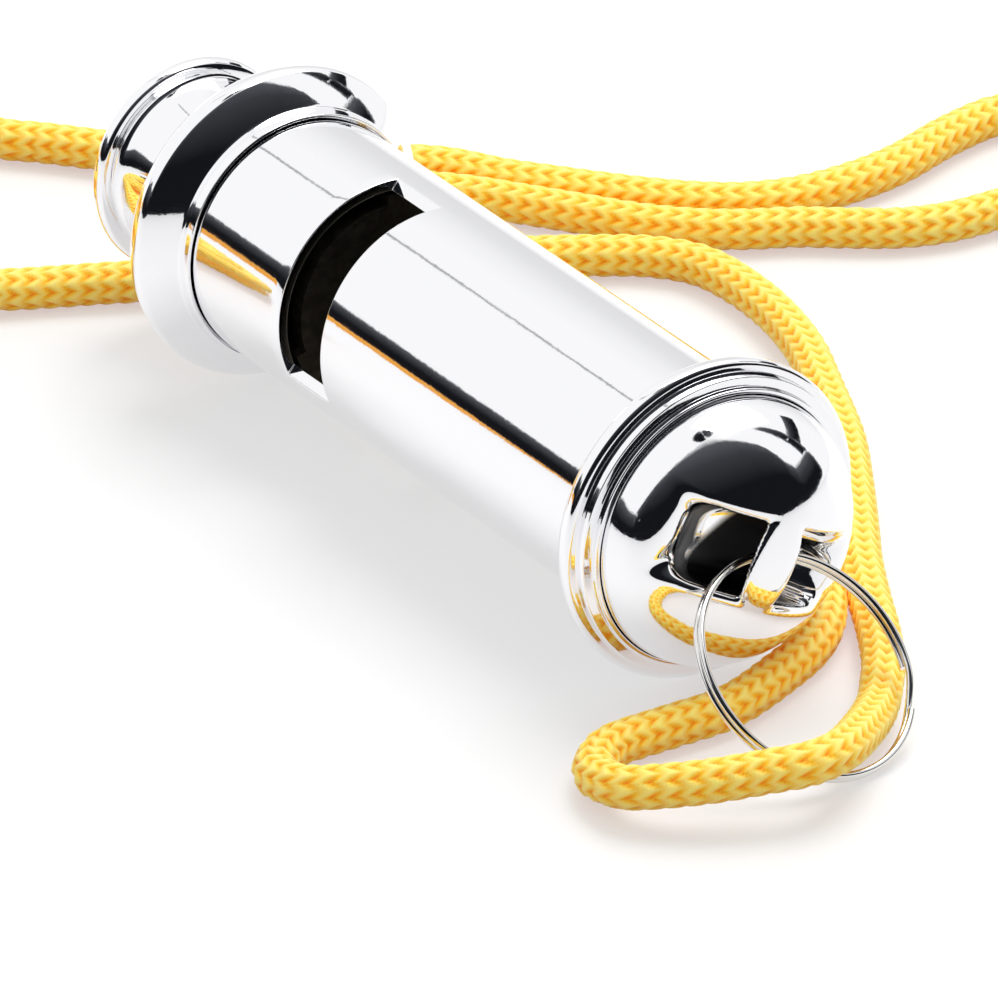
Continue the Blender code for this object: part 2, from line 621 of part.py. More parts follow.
def main():
    start_scene()
    chrome = material("chromed brass", (0.82, 0.83, 0.85), 0.06, 1.0)
    steel = material("spring steel", (0.75, 0.76, 0.78), 0.12, 1.0)
    brass = material("bare brass", (0.62, 0.47, 0.22), 0.35, 1.0)
    yellow = material("knitted yellow cord", (0.95, 0.55, 0.05), 0.8, 0.0)
    strap = material("black strap", (0.03, 0.03, 0.03), 0.7, 0.0)

    droop = ring_droop()
    far_end = max(point.z for point in ring_points(droop)) + RING_WIRE / 2
    middle = -(mouth_end + far_end) / 2
    whistle = add_object("whistle frame", None)
    laid_down = Matrix((
        (0, 0, 1), (math.cos(ROLL), math.sin(ROLL), 0), (-math.sin(ROLL), math.cos(ROLL), 0),
    ))
    whistle.matrix_world = Matrix.Translation((middle, 0, axis_height)) @ laid_down.to_4x4()
    bpy.context.view_layer.update()

    make_barrel(chrome, whistle)
    make_collar(chrome, whistle)
    make_mouthpiece(chrome, whistle)
    make_inner_pieces(brass, whistle)
    make_flange(chrome, whistle)
    make_dome(chrome, whistle)
    pivot, axis = make_ring(steel, whistle, droop)
    make_cord(yellow, chrome, strap, Vector((middle + ROUTE_DATUM, 0, 0)))

    place = whistle.matrix_world
    turn = place.to_3x3()
    print(f"ring droop {math.degrees(droop):.2f} degrees")
    print("ring pivot", tuple(round(x, 6) for x in place @ pivot))
    print("ring axis", tuple(round(x, 5) for x in turn @ axis))
    print(f"barrel's rear end at x = {middle:.6f}, lip's end at x = {middle + mouth_end:.6f}")


main()
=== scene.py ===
# %% [markdown]
# # A chromed tubular whistle on its knitted lanyard
# The whistle is a brass tube with two windows cut across it, a fat collar, a waisted mouthpiece and a domed
# cap with a tunnel for a split ring. It is chromium plated all over, so its looks are almost only what it
# mirrors. A knitted yellow lanyard runs through the ring and round behind the barrel.
#
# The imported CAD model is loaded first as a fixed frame. Every piece below is made in that frame, in metres.

import math

import bmesh
import bpy
import numpy as np
from mathutils import Matrix, Vector


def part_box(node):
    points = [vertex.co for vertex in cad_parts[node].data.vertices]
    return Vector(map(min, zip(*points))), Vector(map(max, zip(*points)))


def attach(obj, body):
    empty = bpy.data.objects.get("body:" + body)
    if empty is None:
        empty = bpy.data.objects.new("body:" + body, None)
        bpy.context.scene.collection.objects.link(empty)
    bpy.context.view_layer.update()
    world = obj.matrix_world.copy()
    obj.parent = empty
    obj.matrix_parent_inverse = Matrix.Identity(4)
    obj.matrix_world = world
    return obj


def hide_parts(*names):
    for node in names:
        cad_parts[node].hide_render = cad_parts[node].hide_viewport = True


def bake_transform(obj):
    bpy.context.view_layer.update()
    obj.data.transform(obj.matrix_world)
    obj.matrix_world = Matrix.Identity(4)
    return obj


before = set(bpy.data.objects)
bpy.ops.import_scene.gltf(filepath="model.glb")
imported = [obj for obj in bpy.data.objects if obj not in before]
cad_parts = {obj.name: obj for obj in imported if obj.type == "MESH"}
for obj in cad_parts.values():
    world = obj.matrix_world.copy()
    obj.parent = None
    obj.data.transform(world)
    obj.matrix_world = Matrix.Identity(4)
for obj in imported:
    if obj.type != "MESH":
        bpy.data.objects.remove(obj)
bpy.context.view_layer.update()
print("CAD nodes:", ", ".join(sorted(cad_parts)))

# %% [markdown]
# ## The whistle's own axes
# A turned piece is easiest to draw about its own axis. The whistle lies on its two rims and came to rest
# rolled about its length, so one matrix takes the whistle's own axes to the table: local Z runs along the
# barrel from its rear end, local X points out of the left window and local Y is across it. The frame gives
# the barrel's place. Lengths that end in MM are in millimetres, and MM turns them into metres.

# %% Place of the whistle
MM = 0.001
ROLL = math.radians(35)
RIM_RADIUS = 11.6 * MM
DATUM_FROM_REAR = 28.0 * MM

rear_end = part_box("barrel_tube")[0].x
axis_height = RIM_RADIUS
laid_down = Matrix((
    (0, 0, 1), (math.cos(ROLL), math.sin(ROLL), 0), (-math.sin(ROLL), math.cos(ROLL), 0),
)).to_4x4()
whistle_place = Matrix.Translation((rear_end, 0, axis_height)) @ laid_down
route_datum = Vector((rear_end + DATUM_FROM_REAR, 0, 0))
print(f"barrel's rear end at x = {rear_end / MM:.2f} mm")

# %% [markdown]
# ## The camera
# The picture was taken from in front of the cap and a little to its right, from far off, so the tube hardly
# tapers. The camera's angles, distance and scale were fitted to the outlines of the tube, collar and cap.
# The camera stands on the line through the middle of the barrel, and is turned so that this middle falls on
# its pixel. No lens shift is needed.

# %% Camera
IMAGE_SIZE = 998
CAMERA_AZIMUTH = math.radians(-33.328)
CAMERA_ELEVATION = math.radians(26.232)
CAMERA_ROLL = math.radians(0.684)
CAMERA_DISTANCE = 0.900
PIXELS_PER_METRE = 14576
MIDDLE_PIXEL = (489.06, 368.38)
SENSOR_WIDTH = 36

barrel_middle = route_datum + Vector((0, 0, axis_height))
back = Vector((
    math.cos(CAMERA_ELEVATION) * math.cos(CAMERA_AZIMUTH),
    math.cos(CAMERA_ELEVATION) * math.sin(CAMERA_AZIMUTH),
    math.sin(CAMERA_ELEVATION),
))
level_right = Vector((-math.sin(CAMERA_AZIMUTH), math.cos(CAMERA_AZIMUTH), 0))
right = math.cos(CAMERA_ROLL) * level_right + math.sin(CAMERA_ROLL) * back.cross(level_right)
up = back.cross(right)
aim = (barrel_middle + right * (IMAGE_SIZE / 2 - MIDDLE_PIXEL[0]) / PIXELS_PER_METRE
       - up * (IMAGE_SIZE / 2 - MIDDLE_PIXEL[1]) / PIXELS_PER_METRE)

camera_data = bpy.data.cameras.new("camera")
camera_data.sensor_width = SENSOR_WIDTH
camera_data.lens = PIXELS_PER_METRE * CAMERA_DISTANCE * SENSOR_WIDTH / IMAGE_SIZE
camera_data.clip_start = 0.05
camera = bpy.data.objects.new("camera", camera_data)
bpy.context.scene.collection.objects.link(camera)
camera_place = barrel_middle + back * CAMERA_DISTANCE
back = (camera_place - aim).normalized()
right = (right - right.dot(back) * back).normalized()
turned = Matrix((right, back.cross(right), back)).transposed().to_4x4()
camera.matrix_world = Matrix.Translation(camera_place) @ turned
bpy.context.scene.camera = camera
print(f"lens {camera_data.lens:.0f} mm")

# %% [markdown]
# ## Helpers for materials
# Colours are picked as sRGB hex values, as on a screen, but shaders work in linear light, so one function
# turns them. Another adds a node with its settings and inputs. A third starts a material from its Principled
# shader. The sizes of patterns are written in millimetres too.

# %% Material helpers
def linear(hex_colour):
    """'#RRGGBB' in sRGB to a linear (r, g, b, 1)."""
    channels = [int(hex_colour[i:i + 2], 16) / 255 for i in (1, 3, 5)]
    return (*[c / 12.92 if c <= 0.04045 else ((c + 0.055) / 1.055) ** 2.4 for c in channels], 1)


def add_node(tree, kind, inputs=None, **settings):
    """Adds a node. Settings are its own properties; an input is a value or the socket that feeds it."""
    node = tree.nodes.new(kind)
    for name, value in settings.items():
        setattr(node, name, value)
    for name, value in (inputs or {}).items():
        if isinstance(value, bpy.types.NodeSocket):
            tree.links.new(value, node.inputs[name])
        else:
            node.inputs[name].default_value = value
    return node


def new_material(name, **inputs):
    """A material and its node tree, with the Principled shader's sockets set by name."""
    material = bpy.data.materials.new(name)
    material.use_nodes = True
    shader = material.node_tree.nodes["Principled BSDF"]
    for socket, value in inputs.items():
        shader.inputs[socket.replace("_", " ")].default_value = value
    return material, material.node_tree, shader


def per_mm(millimetres):
    """A noise or wave texture's scale for features this far apart, where the coordinates are in metres."""
    return 1 / (millimetres * MM)


print("mid grey in linear light:", round(linear("#808080")[0], 3))

# %% [markdown]
# ## Helpers for pieces
# Most of the whistle was turned on a lathe or pressed, so a piece is a profile spun about the barrel's axis.
# The Screw modifier does that. A profile's corners are rounded a little, because no plated edge is sharp, and
# a bright line along an edge is what makes metal look solid. A few pieces start from a copy of a CAD node.

# %% Piece helpers
TURN_STEPS = 192
ARC_STEP_DEG = 6
CORNER_STEPS = 5
WELD = 0.002 * MM


def arc(centre, radius, start_deg, end_deg):
    """Points (radius, height) in mm on an arc; 0 degrees points outwards, 90 degrees towards the cap."""
    count = max(2, math.ceil(abs(end_deg - start_deg) / ARC_STEP_DEG))
    angles = [math.radians(start_deg + (end_deg - start_deg) * i / count) for i in range(count + 1)]
    return [(centre[0] + radius * math.cos(a), centre[1] + radius * math.sin(a)) for a in angles]


def round_corner(before, corner, after, radius):
    """Replaces a corner of a profile by a small arc, drawn as a quadratic curve."""
    before, corner, after = Vector(before), Vector(corner), Vector(after)
    start = corner + (before - corner).normalized() * min(radius, (before - corner).length / 2)
    end = corner + (after - corner).normalized() * min(radius, (after - corner).length / 2)
    points = []
    for i in range(CORNER_STEPS + 1):
        t = i / CORNER_STEPS
        points.append(tuple((1 - t) ** 2 * start + 2 * t * (1 - t) * corner + t ** 2 * end))
    return points


def rounded(corners):
    """A closed profile from (radius, height) corners in mm, where a third number rounds that corner."""
    profile = []
    for i, (*corner, size) in enumerate((*c, 0) if len(c) == 2 else c for c in corners):
        before, after = corners[i - 1][:2], corners[(i + 1) % len(corners)][:2]
        profile += round_corner(before, corner, after, size) if size else [tuple(corner)]
    return profile


def new_piece(name, mesh, material, body, node=None):
    """Adds a mesh that already lies in the frame, and lets it ride a body and stand for a CAD node."""
    mesh.materials.clear()
    mesh.materials.append(material)
    piece = bpy.data.objects.new(name, mesh)
    bpy.context.scene.collection.objects.link(piece)
    if body:
        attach(piece, body)
    if node:
        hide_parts(node)
    return piece


def applied(obj):
    """The object's mesh with its modifiers applied, in world coordinates. The object is removed."""
    bpy.context.view_layer.update()
    mesh = bpy.data.meshes.new_from_object(obj.evaluated_get(bpy.context.evaluated_depsgraph_get()))
    mesh.transform(obj.matrix_world)
    bpy.data.objects.remove(obj)
    return mesh


def spun(name, profile):
    """A turned mesh from a profile in mm. It runs down the outside and back up the bore."""
    mesh = bpy.data.meshes.new(name)
    edges = [(i, (i + 1) % len(profile)) for i in range(len(profile))]
    mesh.from_pydata([(radius * MM, 0, height * MM) for radius, height in profile], edges, [])
    blank = bpy.data.objects.new(name + "_blank", mesh)
    bpy.context.scene.collection.objects.link(blank)
    blank.matrix_world = whistle_place
    screw = blank.modifiers.new("turn", "SCREW")
    screw.steps = screw.render_steps = TURN_STEPS
    screw.use_merge_vertices = True
    screw.merge_threshold = WELD / 2
    mesh = applied(blank)
    mesh.name = name
    mesh.shade_smooth()
    return mesh


def cad_copy(node, name, flat_deg=0):
    """A copy of a CAD node's mesh with its points joined. An angle also makes its flat faces whole."""
    bm = bmesh.new()
    bm.from_mesh(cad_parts[node].data)
    bmesh.ops.remove_doubles(bm, verts=bm.verts, dist=WELD)
    if flat_deg:
        bmesh.ops.dissolve_limit(bm, angle_limit=math.radians(flat_deg), verts=bm.verts, edges=bm.edges)
    mesh = bpy.data.meshes.new(name)
    bm.to_mesh(mesh)
    bm.free()
    return mesh


def soften(piece, width_mm, angle_deg=30):
    """Rounds a piece's hard edges and keeps its flat faces flat in their shading."""
    bevel = piece.modifiers.new("worn edges", "BEVEL")
    bevel.width = width_mm * MM
    bevel.segments = 3
    bevel.angle_limit = math.radians(angle_deg)
    weighted = piece.modifiers.new("flat faces", "WEIGHTED_NORMAL")
    weighted.keep_sharp = True


def eased(share):
    """A share from 0 to 1 that starts and ends without a kink."""
    return share * share * (3 - 2 * share)


print(f"a turned piece has {TURN_STEPS} faces around, one each {360 / TURN_STEPS:.2f} degrees")

# %% [markdown]
# ## Chromium plate on polished brass
# Decorative chrome is a few hundredths of a millimetre of nickel under a breath of chromium. It is as smooth
# as the brass below it was polished: a mirror with a faint orange peel, some hairlines from wiping, and no
# colour but a slight blue. The eye sees it only by what it mirrors, so its roughness is very low. The
# hairlines are drawn as fine changes of roughness, at the coarsest spacing that still reads as fine. A second
# chrome has painted shade: it is made dark and dull in the bottom of the dome's tunnel.

# %% Chrome
CHROME_COLOUR = "#F8F8FA"
PEEL_SIZE_MM = 1.3
PEEL_DEPTH_MM = 0.006
HAIRLINE_SPACING_MM = 0.12
HAIRLINE_STRETCH = (0.04, 1, 1)
SMOOTHEST = 0.025
ROUGHEST = 0.085
# The recess colour is painted shade: it darkens the bottom of the dome's tunnel.
PAINTED_RECESS_SHADE = "#141416"
RECESS_ROUGHNESS = 0.3


def chrome_material(name, with_painted_recess_shade=False):
    """Mirror chrome. Where the mesh's shade attribute for the recess is 1, it can be made dark and dull:
    painted shade.
    """
    material, tree, shader = new_material(name, Base_Color=linear(CHROME_COLOUR), Metallic=1.0)
    place = add_node(tree, "ShaderNodeTexCoord").outputs["Object"]
    peel = add_node(tree, "ShaderNodeTexNoise", {
        "Vector": place, "Scale": per_mm(PEEL_SIZE_MM), "Detail": 3.0, "Roughness": 0.6,
    })
    bump = add_node(tree, "ShaderNodeBump", {"Height": peel.outputs["Fac"], "Distance": PEEL_DEPTH_MM * MM})
    tree.links.new(bump.outputs["Normal"], shader.inputs["Normal"])
    drawn_out = add_node(tree, "ShaderNodeMapping", {"Vector": place, "Scale": HAIRLINE_STRETCH})
    hairlines = add_node(tree, "ShaderNodeTexNoise", {
        "Vector": drawn_out.outputs["Vector"], "Scale": per_mm(HAIRLINE_SPACING_MM), "Detail": 2.0,
    })
    roughness = add_node(tree, "ShaderNodeMapRange", {
        "Value": hairlines.outputs["Fac"], "From Min": 0.35, "From Max": 0.75,
        "To Min": SMOOTHEST, "To Max": ROUGHEST,
    }).outputs["Result"]
    # In the recess the chrome is made dark and dull as painted shade.
    if with_painted_recess_shade:
        recess_shade = add_node(tree, "ShaderNodeAttribute", attribute_name="recess_shade").outputs["Fac"]
        chrome_or_painted_shade = add_node(tree, "ShaderNodeMix", {"Factor": recess_shade}, data_type="RGBA")
        chrome_or_painted_shade.inputs["A"].default_value = linear(CHROME_COLOUR)
        chrome_or_painted_shade.inputs["B"].default_value = linear(PAINTED_RECESS_SHADE)
        tree.links.new(chrome_or_painted_shade.outputs["Result"], shader.inputs["Base Color"])
        roughness = add_node(tree, "ShaderNodeMath", {
            0: recess_shade, 1: RECESS_ROUGHNESS, 2: roughness,
        }, operation="MULTIPLY_ADD").outputs[0]
    tree.links.new(roughness, shader.inputs["Roughness"])
    return material


chrome = chrome_material("chromium plate on polished brass")
dome_chrome_painted_shade = chrome_material("chromium plate, painted shade in the tunnel", with_painted_recess_shade=True)
print(f"chrome: roughness {SMOOTHEST} to {ROUGHEST}, and {RECESS_ROUGHNESS} more in the recess")

# %% [markdown]
# ## The barrel and its windows
# The barrel is a plain drawn tube. Its two windows were sawn straight across it, so each is the part of the
# wall that lies beyond a flat plane. A Boolean cut would leave long thin faces that spoil a mirror finish.
# Instead the wall is drawn as a grid whose lines already run along the windows' edges, and the faces inside a
# window are left out. On the outside the flat plane meets the tube 60 degrees from the window's middle, and
# on the bore a little sooner.

# %% Barrel
BARREL_RADIUS_MM = 9.0
BORE_RADIUS_MM = 8.2
BARREL_LENGTH_MM = 55.4
WINDOW_START_MM = 15.1
WINDOW_END_MM = 20.5
WINDOW_FLAT_MM = 4.5
BARREL_EDGE_MM = 0.10
BARREL_ROWS = 12


def barrel_mesh():
    outer_edge = math.acos(WINDOW_FLAT_MM / BARREL_RADIUS_MM)
    bore_edge = math.acos(WINDOW_FLAT_MM / BORE_RADIUS_MM)
    heights = sorted([BARREL_LENGTH_MM * i / BARREL_ROWS for i in range(BARREL_ROWS + 1)]
                     + [WINDOW_START_MM, WINDOW_END_MM])
    window_rows = range(heights.index(WINDOW_START_MM), heights.index(WINDOW_END_MM))
    edge_column = round(outer_edge / math.tau * TURN_STEPS)
    half = TURN_STEPS // 2

    def bore_angle(column):
        """The bore's grid lines are drawn towards the window's edge, so that both walls meet in its plane."""
        from_window = (column + half // 2) % half - half // 2
        share = abs(from_window) / edge_column
        if share <= 1:
            angle = bore_edge * share
        else:
            rest = (abs(from_window) - edge_column) / (half // 2 - edge_column)
            angle = bore_edge + (math.pi / 2 - bore_edge) * rest
        return math.tau * (column - from_window) / TURN_STEPS + math.copysign(angle, from_window)

    def in_window(column, row):
        nearest = (column + 0.5 + half / 2) % half - half / 2
        return row in window_rows and abs(nearest) < edge_column

    def wall(radius, angle_of):
        """Rows of points around the tube, one row for each height."""
        turns = [angle_of(column) for column in range(TURN_STEPS)]
        around = [(radius * MM * math.cos(turn), radius * MM * math.sin(turn)) for turn in turns]
        return [[bm.verts.new((x, y, height * MM)) for x, y in around] for height in heights]

    bm = bmesh.new()
    outer = wall(BARREL_RADIUS_MM, lambda column: math.tau * column / TURN_STEPS)
    bore = wall(BORE_RADIUS_MM, bore_angle)
    last = len(heights) - 1
    for row in range(last):
        for c in range(TURN_STEPS):
            n = (c + 1) % TURN_STEPS
            if in_window(c, row):
                if row - 1 not in window_rows:
                    bm.faces.new((outer[row][c], outer[row][n], bore[row][n], bore[row][c]))
                if row + 1 not in window_rows:
                    bm.faces.new((outer[row + 1][n], outer[row + 1][c], bore[row + 1][c], bore[row + 1][n]))
                continue
            bm.faces.new((outer[row][c], outer[row][n], outer[row + 1][n], outer[row + 1][c]))
            bm.faces.new((bore[row][n], bore[row][c], bore[row + 1][c], bore[row + 1][n]))
            for step, line in ((-1, c), (1, n)):
                if in_window((c + step) % TURN_STEPS, row):
                    bm.faces.new((outer[row][line], outer[row + 1][line],
                                  bore[row + 1][line], bore[row][line]))
    for c in range(TURN_STEPS):
        n = (c + 1) % TURN_STEPS
        bm.faces.new((outer[0][n], outer[0][c], bore[0][c], bore[0][n]))
        bm.faces.new((outer[last][c], outer[last][n], bore[last][n], bore[last][c]))
    bmesh.ops.recalc_face_normals(bm, faces=bm.faces)
    mesh = bpy.data.meshes.new("barrel")
    bm.to_mesh(mesh)
    bm.free()
    mesh.transform(whistle_place)
    mesh.shade_smooth()
    return mesh


barrel = new_piece("barrel", barrel_mesh(), chrome, "whistle", "barrel_tube")
soften(barrel, BARREL_EDGE_MM)
print("barrel faces:", len(barrel.data.polygons))

# %% [markdown]
# ## The collar
# The collar is a fat ring that stops the lips and keeps the whistle in the teeth. Its front is nearly a cone
# with a round rim, so it mirrors the dark room in one broad band. A short sleeve runs on from it over the
# barrel and ends in a fine dark slit. The rim and the face are arcs of two sizes that meet without a corner.

# %% Collar
COLLAR_BEAD_RADIUS_MM = 2.5
COLLAR_BEAD_HEIGHT_MM = 0.6
COLLAR_RIM_RADIUS_MM = 0.9
COLLAR_RIM_HEIGHT_MM = 0.4
COLLAR_FACE_RADIUS_MM = 9.0
FACE_START_DEG = 42
FACE_END_DEG = 57
FACE_CORNER_MM = 0.3
SLEEVE_RADIUS_MM = 9.35
SLEEVE_FOOT_MM = 2.68
SLEEVE_END_MM = 3.9
SLEEVE_CORNER_MM = 0.1
SLIT_MM = 0.12
SLIT_BOTTOM_MM = 3.2
FINE_CORNER_MM = 0.06
FIT_MM = 0.02


def arc_on(last, radius, start_deg, end_deg):
    """An arc of another radius that goes on from the last point without a corner."""
    turn = math.radians(start_deg)
    centre = (last[0] - radius * math.cos(turn), last[1] - radius * math.sin(turn))
    return arc(centre, radius, start_deg, end_deg)[1:]


bead_centre = (RIM_RADIUS / MM - COLLAR_BEAD_RADIUS_MM, COLLAR_BEAD_HEIGHT_MM)
rim_centre = (RIM_RADIUS / MM - COLLAR_RIM_RADIUS_MM, COLLAR_RIM_HEIGHT_MM)
rim = arc(rim_centre, COLLAR_RIM_RADIUS_MM, -8, FACE_START_DEG)
face = arc_on(rim[-1], COLLAR_FACE_RADIUS_MM, FACE_START_DEG, FACE_END_DEG)
slit = BARREL_RADIUS_MM + SLIT_MM
profile = rounded([
    (BARREL_RADIUS_MM + FIT_MM, SLIT_BOTTOM_MM), (slit, SLIT_BOTTOM_MM),
    (slit, SLEEVE_END_MM, FINE_CORNER_MM), (SLEEVE_RADIUS_MM, SLEEVE_END_MM, SLEEVE_CORNER_MM),
    (SLEEVE_RADIUS_MM, SLEEVE_FOOT_MM, FACE_CORNER_MM), *face[::-1], *rim[::-1],
    *arc(bead_centre, COLLAR_BEAD_RADIUS_MM, -12, -88),
    (BARREL_RADIUS_MM + FIT_MM, COLLAR_BEAD_HEIGHT_MM - COLLAR_BEAD_RADIUS_MM),
])
new_piece("collar", spun("collar", profile), chrome, "whistle", "collar_ring")
print(f"collar {2 * RIM_RADIUS / MM:.1f} mm across")

# %% [markdown]
# ## The mouthpiece
# The mouthpiece is turned from bar: a hollow curve from the collar to the waist, a flare and a rounded lip,
# with the blow hole bored through, and a tenon that fits the barrel. The hollow is a quarter ellipse, as a
# form tool leaves it, and a power makes the flare hold the waist for longer and then open fast.

# %% Mouthpiece
WAIST_RADIUS_MM = 6.2
WAIST_HEIGHT_MM = -5.0
SHOULDER_HEIGHT_MM = -1.9
LIP_RADIUS_MM = 0.8
LIP_OUTER_RADIUS_MM = 8.0
FLARE_POWER = 0.35
MOUTH_END_MM = -11.5
BLOW_HOLE_RADIUS_MM = 5.2
BLOW_HOLE_DEPTH_MM = 8.5
BLOW_HOLE_CORNER_MM = 0.35
TENON_RADIUS_MM = 7.9
TENON_BORE_MM = 7.1
TENON_END_MM = 2.0
TENON_FOOT_MM = -0.3
CURVE_STEPS = 18

lip = arc((LIP_OUTER_RADIUS_MM - LIP_RADIUS_MM, MOUTH_END_MM + LIP_RADIUS_MM), LIP_RADIUS_MM, 50, -90)
cove = []
flare = []
for i in range(CURVE_STEPS + 1):
    turn = math.pi / 2 * (1 - i / CURVE_STEPS)
    cove.append((BARREL_RADIUS_MM - (BARREL_RADIUS_MM - WAIST_RADIUS_MM) * math.cos(turn),
                 WAIST_HEIGHT_MM + (SHOULDER_HEIGHT_MM - WAIST_HEIGHT_MM) * math.sin(turn)))
for i in range(1, CURVE_STEPS):
    turn = math.pi / 2 * i / CURVE_STEPS
    flare.append((WAIST_RADIUS_MM + (lip[0][0] - WAIST_RADIUS_MM) * (1 - math.cos(turn) ** FLARE_POWER),
                  WAIST_HEIGHT_MM - (WAIST_HEIGHT_MM - lip[0][1]) * math.sin(turn)))
profile = rounded([
    (TENON_RADIUS_MM, TENON_END_MM), (TENON_RADIUS_MM, TENON_FOOT_MM), (BARREL_RADIUS_MM, TENON_FOOT_MM),
    *cove, *flare, *lip, (BLOW_HOLE_RADIUS_MM, MOUTH_END_MM, BLOW_HOLE_CORNER_MM),
    (BLOW_HOLE_RADIUS_MM, MOUTH_END_MM + BLOW_HOLE_DEPTH_MM), (TENON_BORE_MM, TENON_END_MM),
])
new_piece("mouthpiece_turned", spun("mouthpiece_turned", profile), chrome, "whistle", "mouthpiece")
print("mouthpiece reaches", round(-MOUTH_END_MM, 1), "mm behind the barrel")

# %% [markdown]
# ## The cap's flange
# The flange is pressed from sheet and rolled over the barrel's end. It has a rolled rim, a low step and a
# thin raised lip that holds the dome's edge. Their tight corners give the fine dark lines around the dome.

# %% Flange
FLANGE_FRONT_MM = 56.6
FLANGE_BEAD_RADIUS_MM = 1.4
FLANGE_BEAD_HEIGHT_MM = 54.7
FLANGE_RIM_RADIUS_MM = 0.45
FLANGE_RIM_HEIGHT_MM = 54.8
STEP_RADIUS_MM = 10.85
STEP_FRONT_MM = 56.15
STEP_CORNER_MM = 0.12
FLANGE_BACK_MM = 52.6
SKIRT_RADIUS_MM = 9.8
SKIRT_TOP_MM = 52.95
SKIRT_CHAMFER_MM = 0.1
LIP_INNER_MM = 9.75
LIP_WALL_MM = 0.4
LIP_CORNER_MM = 0.15

bead_centre = (RIM_RADIUS / MM - FLANGE_BEAD_RADIUS_MM, FLANGE_BEAD_HEIGHT_MM)
rim_centre = (RIM_RADIUS / MM - FLANGE_RIM_RADIUS_MM, FLANGE_RIM_HEIGHT_MM)
rim = arc(rim_centre, FLANGE_RIM_RADIUS_MM, 88, -8)
lip_outer = LIP_INNER_MM + LIP_WALL_MM
profile = rounded([
    (LIP_INNER_MM, FLANGE_FRONT_MM, LIP_CORNER_MM), (lip_outer, FLANGE_FRONT_MM, LIP_CORNER_MM),
    (lip_outer, STEP_FRONT_MM, FINE_CORNER_MM), (STEP_RADIUS_MM, STEP_FRONT_MM, STEP_CORNER_MM),
    (STEP_RADIUS_MM, rim[0][1], FINE_CORNER_MM), *rim, *arc(bead_centre, FLANGE_BEAD_RADIUS_MM, -10, -90),
    (SKIRT_RADIUS_MM, SKIRT_TOP_MM), (SKIRT_RADIUS_MM, FLANGE_BACK_MM + SKIRT_CHAMFER_MM),
    (SKIRT_RADIUS_MM - SKIRT_CHAMFER_MM, FLANGE_BACK_MM), (BARREL_RADIUS_MM + FIT_MM, FLANGE_BACK_MM),
    (BARREL_RADIUS_MM + FIT_MM, BARREL_LENGTH_MM), (LIP_INNER_MM, BARREL_LENGTH_MM),
])
new_piece("flange", spun("flange", profile), chrome, "whistle", "cap_flange_ring")
print(f"flange: {len(profile)} points in its profile, {FLANGE_FRONT_MM - FLANGE_BACK_MM:.1f} mm deep")

# %% [markdown]
# ## The dome and its tunnel
# The dome is cast, with a scoop milled across its top and a round bridge left over the scoop's middle, for
# the ring to pass under. All edges were softened by polishing. Such a blend is hard to bevel, but easy to
# state as a distance: how far a point lies outside the dome, the scoop or the bridge. Where two of these are
# alike, they are blended, and the width of the blend rounds the edge.

# %% Dome's shape
DOME_RADIUS_MM = 9.70
DOME_BASE_MM = 56.4
DOME_HEIGHT_MM = 7.0
SCOOP_RADIUS_MM = 9.1
SCOOP_FLOOR_MM = 57.6
TUNNEL_UPPER_WALL_MM = 2.65
TUNNEL_LOWER_WALL_MM = 2.70
TUNNEL_TURN = math.radians(10)
BRIDGE_RADIUS_MM = 2.8
BRIDGE_SHIFT_MM = -0.3
BRIDGE_UNDERSIDE_MM = 62.2
WALL_RIM_MM = 0.8
RAMP_RIM_MM = 2.2
INNER_CORNER_MM = 1.8
BRIDGE_EDGE_MM = 0.35
RAMP_BLEND_MM = 3.0
RAMP_START_MM = 2.5
RAMP_RUN_MM = 2.0


def blended_max(a, b, width):
    """The larger of two distances, blended over a width where they are alike, which rounds the edge."""
    near = np.clip(1 - np.abs(a - b) / width, 0, 1)
    return np.maximum(a, b) + near * near * width / 4


def dome_parts(p):
    """Distances in mm from the plain dome, and from its tunnel, of points in the whistle's own axes."""
    x, y, z = p.T
    rise = np.maximum(z - DOME_BASE_MM, 0)
    over = np.sqrt((x * x + y * y) / DOME_RADIUS_MM ** 2 + rise ** 2 / DOME_HEIGHT_MM ** 2)
    slope = np.sqrt((x * x + y * y) / DOME_RADIUS_MM ** 4 + rise ** 2 / DOME_HEIGHT_MM ** 4)
    shell = over * (over - 1) / np.maximum(slope, 1e-6)
    through = x * math.cos(TUNNEL_TURN) + y * math.sin(TUNNEL_TURN)
    sideways = y * math.cos(TUNNEL_TURN) - x * math.sin(TUNNEL_TURN)
    scoop = np.hypot(through, z - SCOOP_FLOOR_MM - SCOOP_RADIUS_MM) - SCOOP_RADIUS_MM
    walls = np.maximum(sideways - TUNNEL_UPPER_WALL_MM, -sideways - TUNNEL_LOWER_WALL_MM)
    from_bridge = np.hypot(through - BRIDGE_SHIFT_MM, z - BRIDGE_UNDERSIDE_MM - BRIDGE_RADIUS_MM)
    bridge = from_bridge - BRIDGE_RADIUS_MM
    cut = blended_max(blended_max(scoop, walls, INNER_CORNER_MM), -bridge, BRIDGE_EDGE_MM)
    on_ramp = eased(np.clip((scoop - walls) / RAMP_BLEND_MM + 0.5, 0, 1)
                    * np.clip((np.abs(through) - RAMP_START_MM) / RAMP_RUN_MM, 0, 1))
    return shell, cut, through, sideways, WALL_RIM_MM + (RAMP_RIM_MM - WALL_RIM_MM) * on_ramp


def dome_distance(p):
    """How far points lie outside the finished dome. The ramps run out softly, the walls' rims are tighter."""
    shell, cut, _, _, rim_width = dome_parts(p)
    return blended_max(shell, -cut, rim_width)


def distance_slope(p):
    """How that distance grows along each axis, which also points straight out of the surface."""
    step = 0.002
    return np.stack([
        (dome_distance(p + step * axis) - dome_distance(p - step * axis)) / (2 * step) for axis in np.eye(3)
    ], 1)


depth = -float(dome_distance(np.array([[0, 0, 63.0]]))[0])
print(f"a point 63 mm up the whistle's axis lies {depth:.2f} mm inside the bridge")
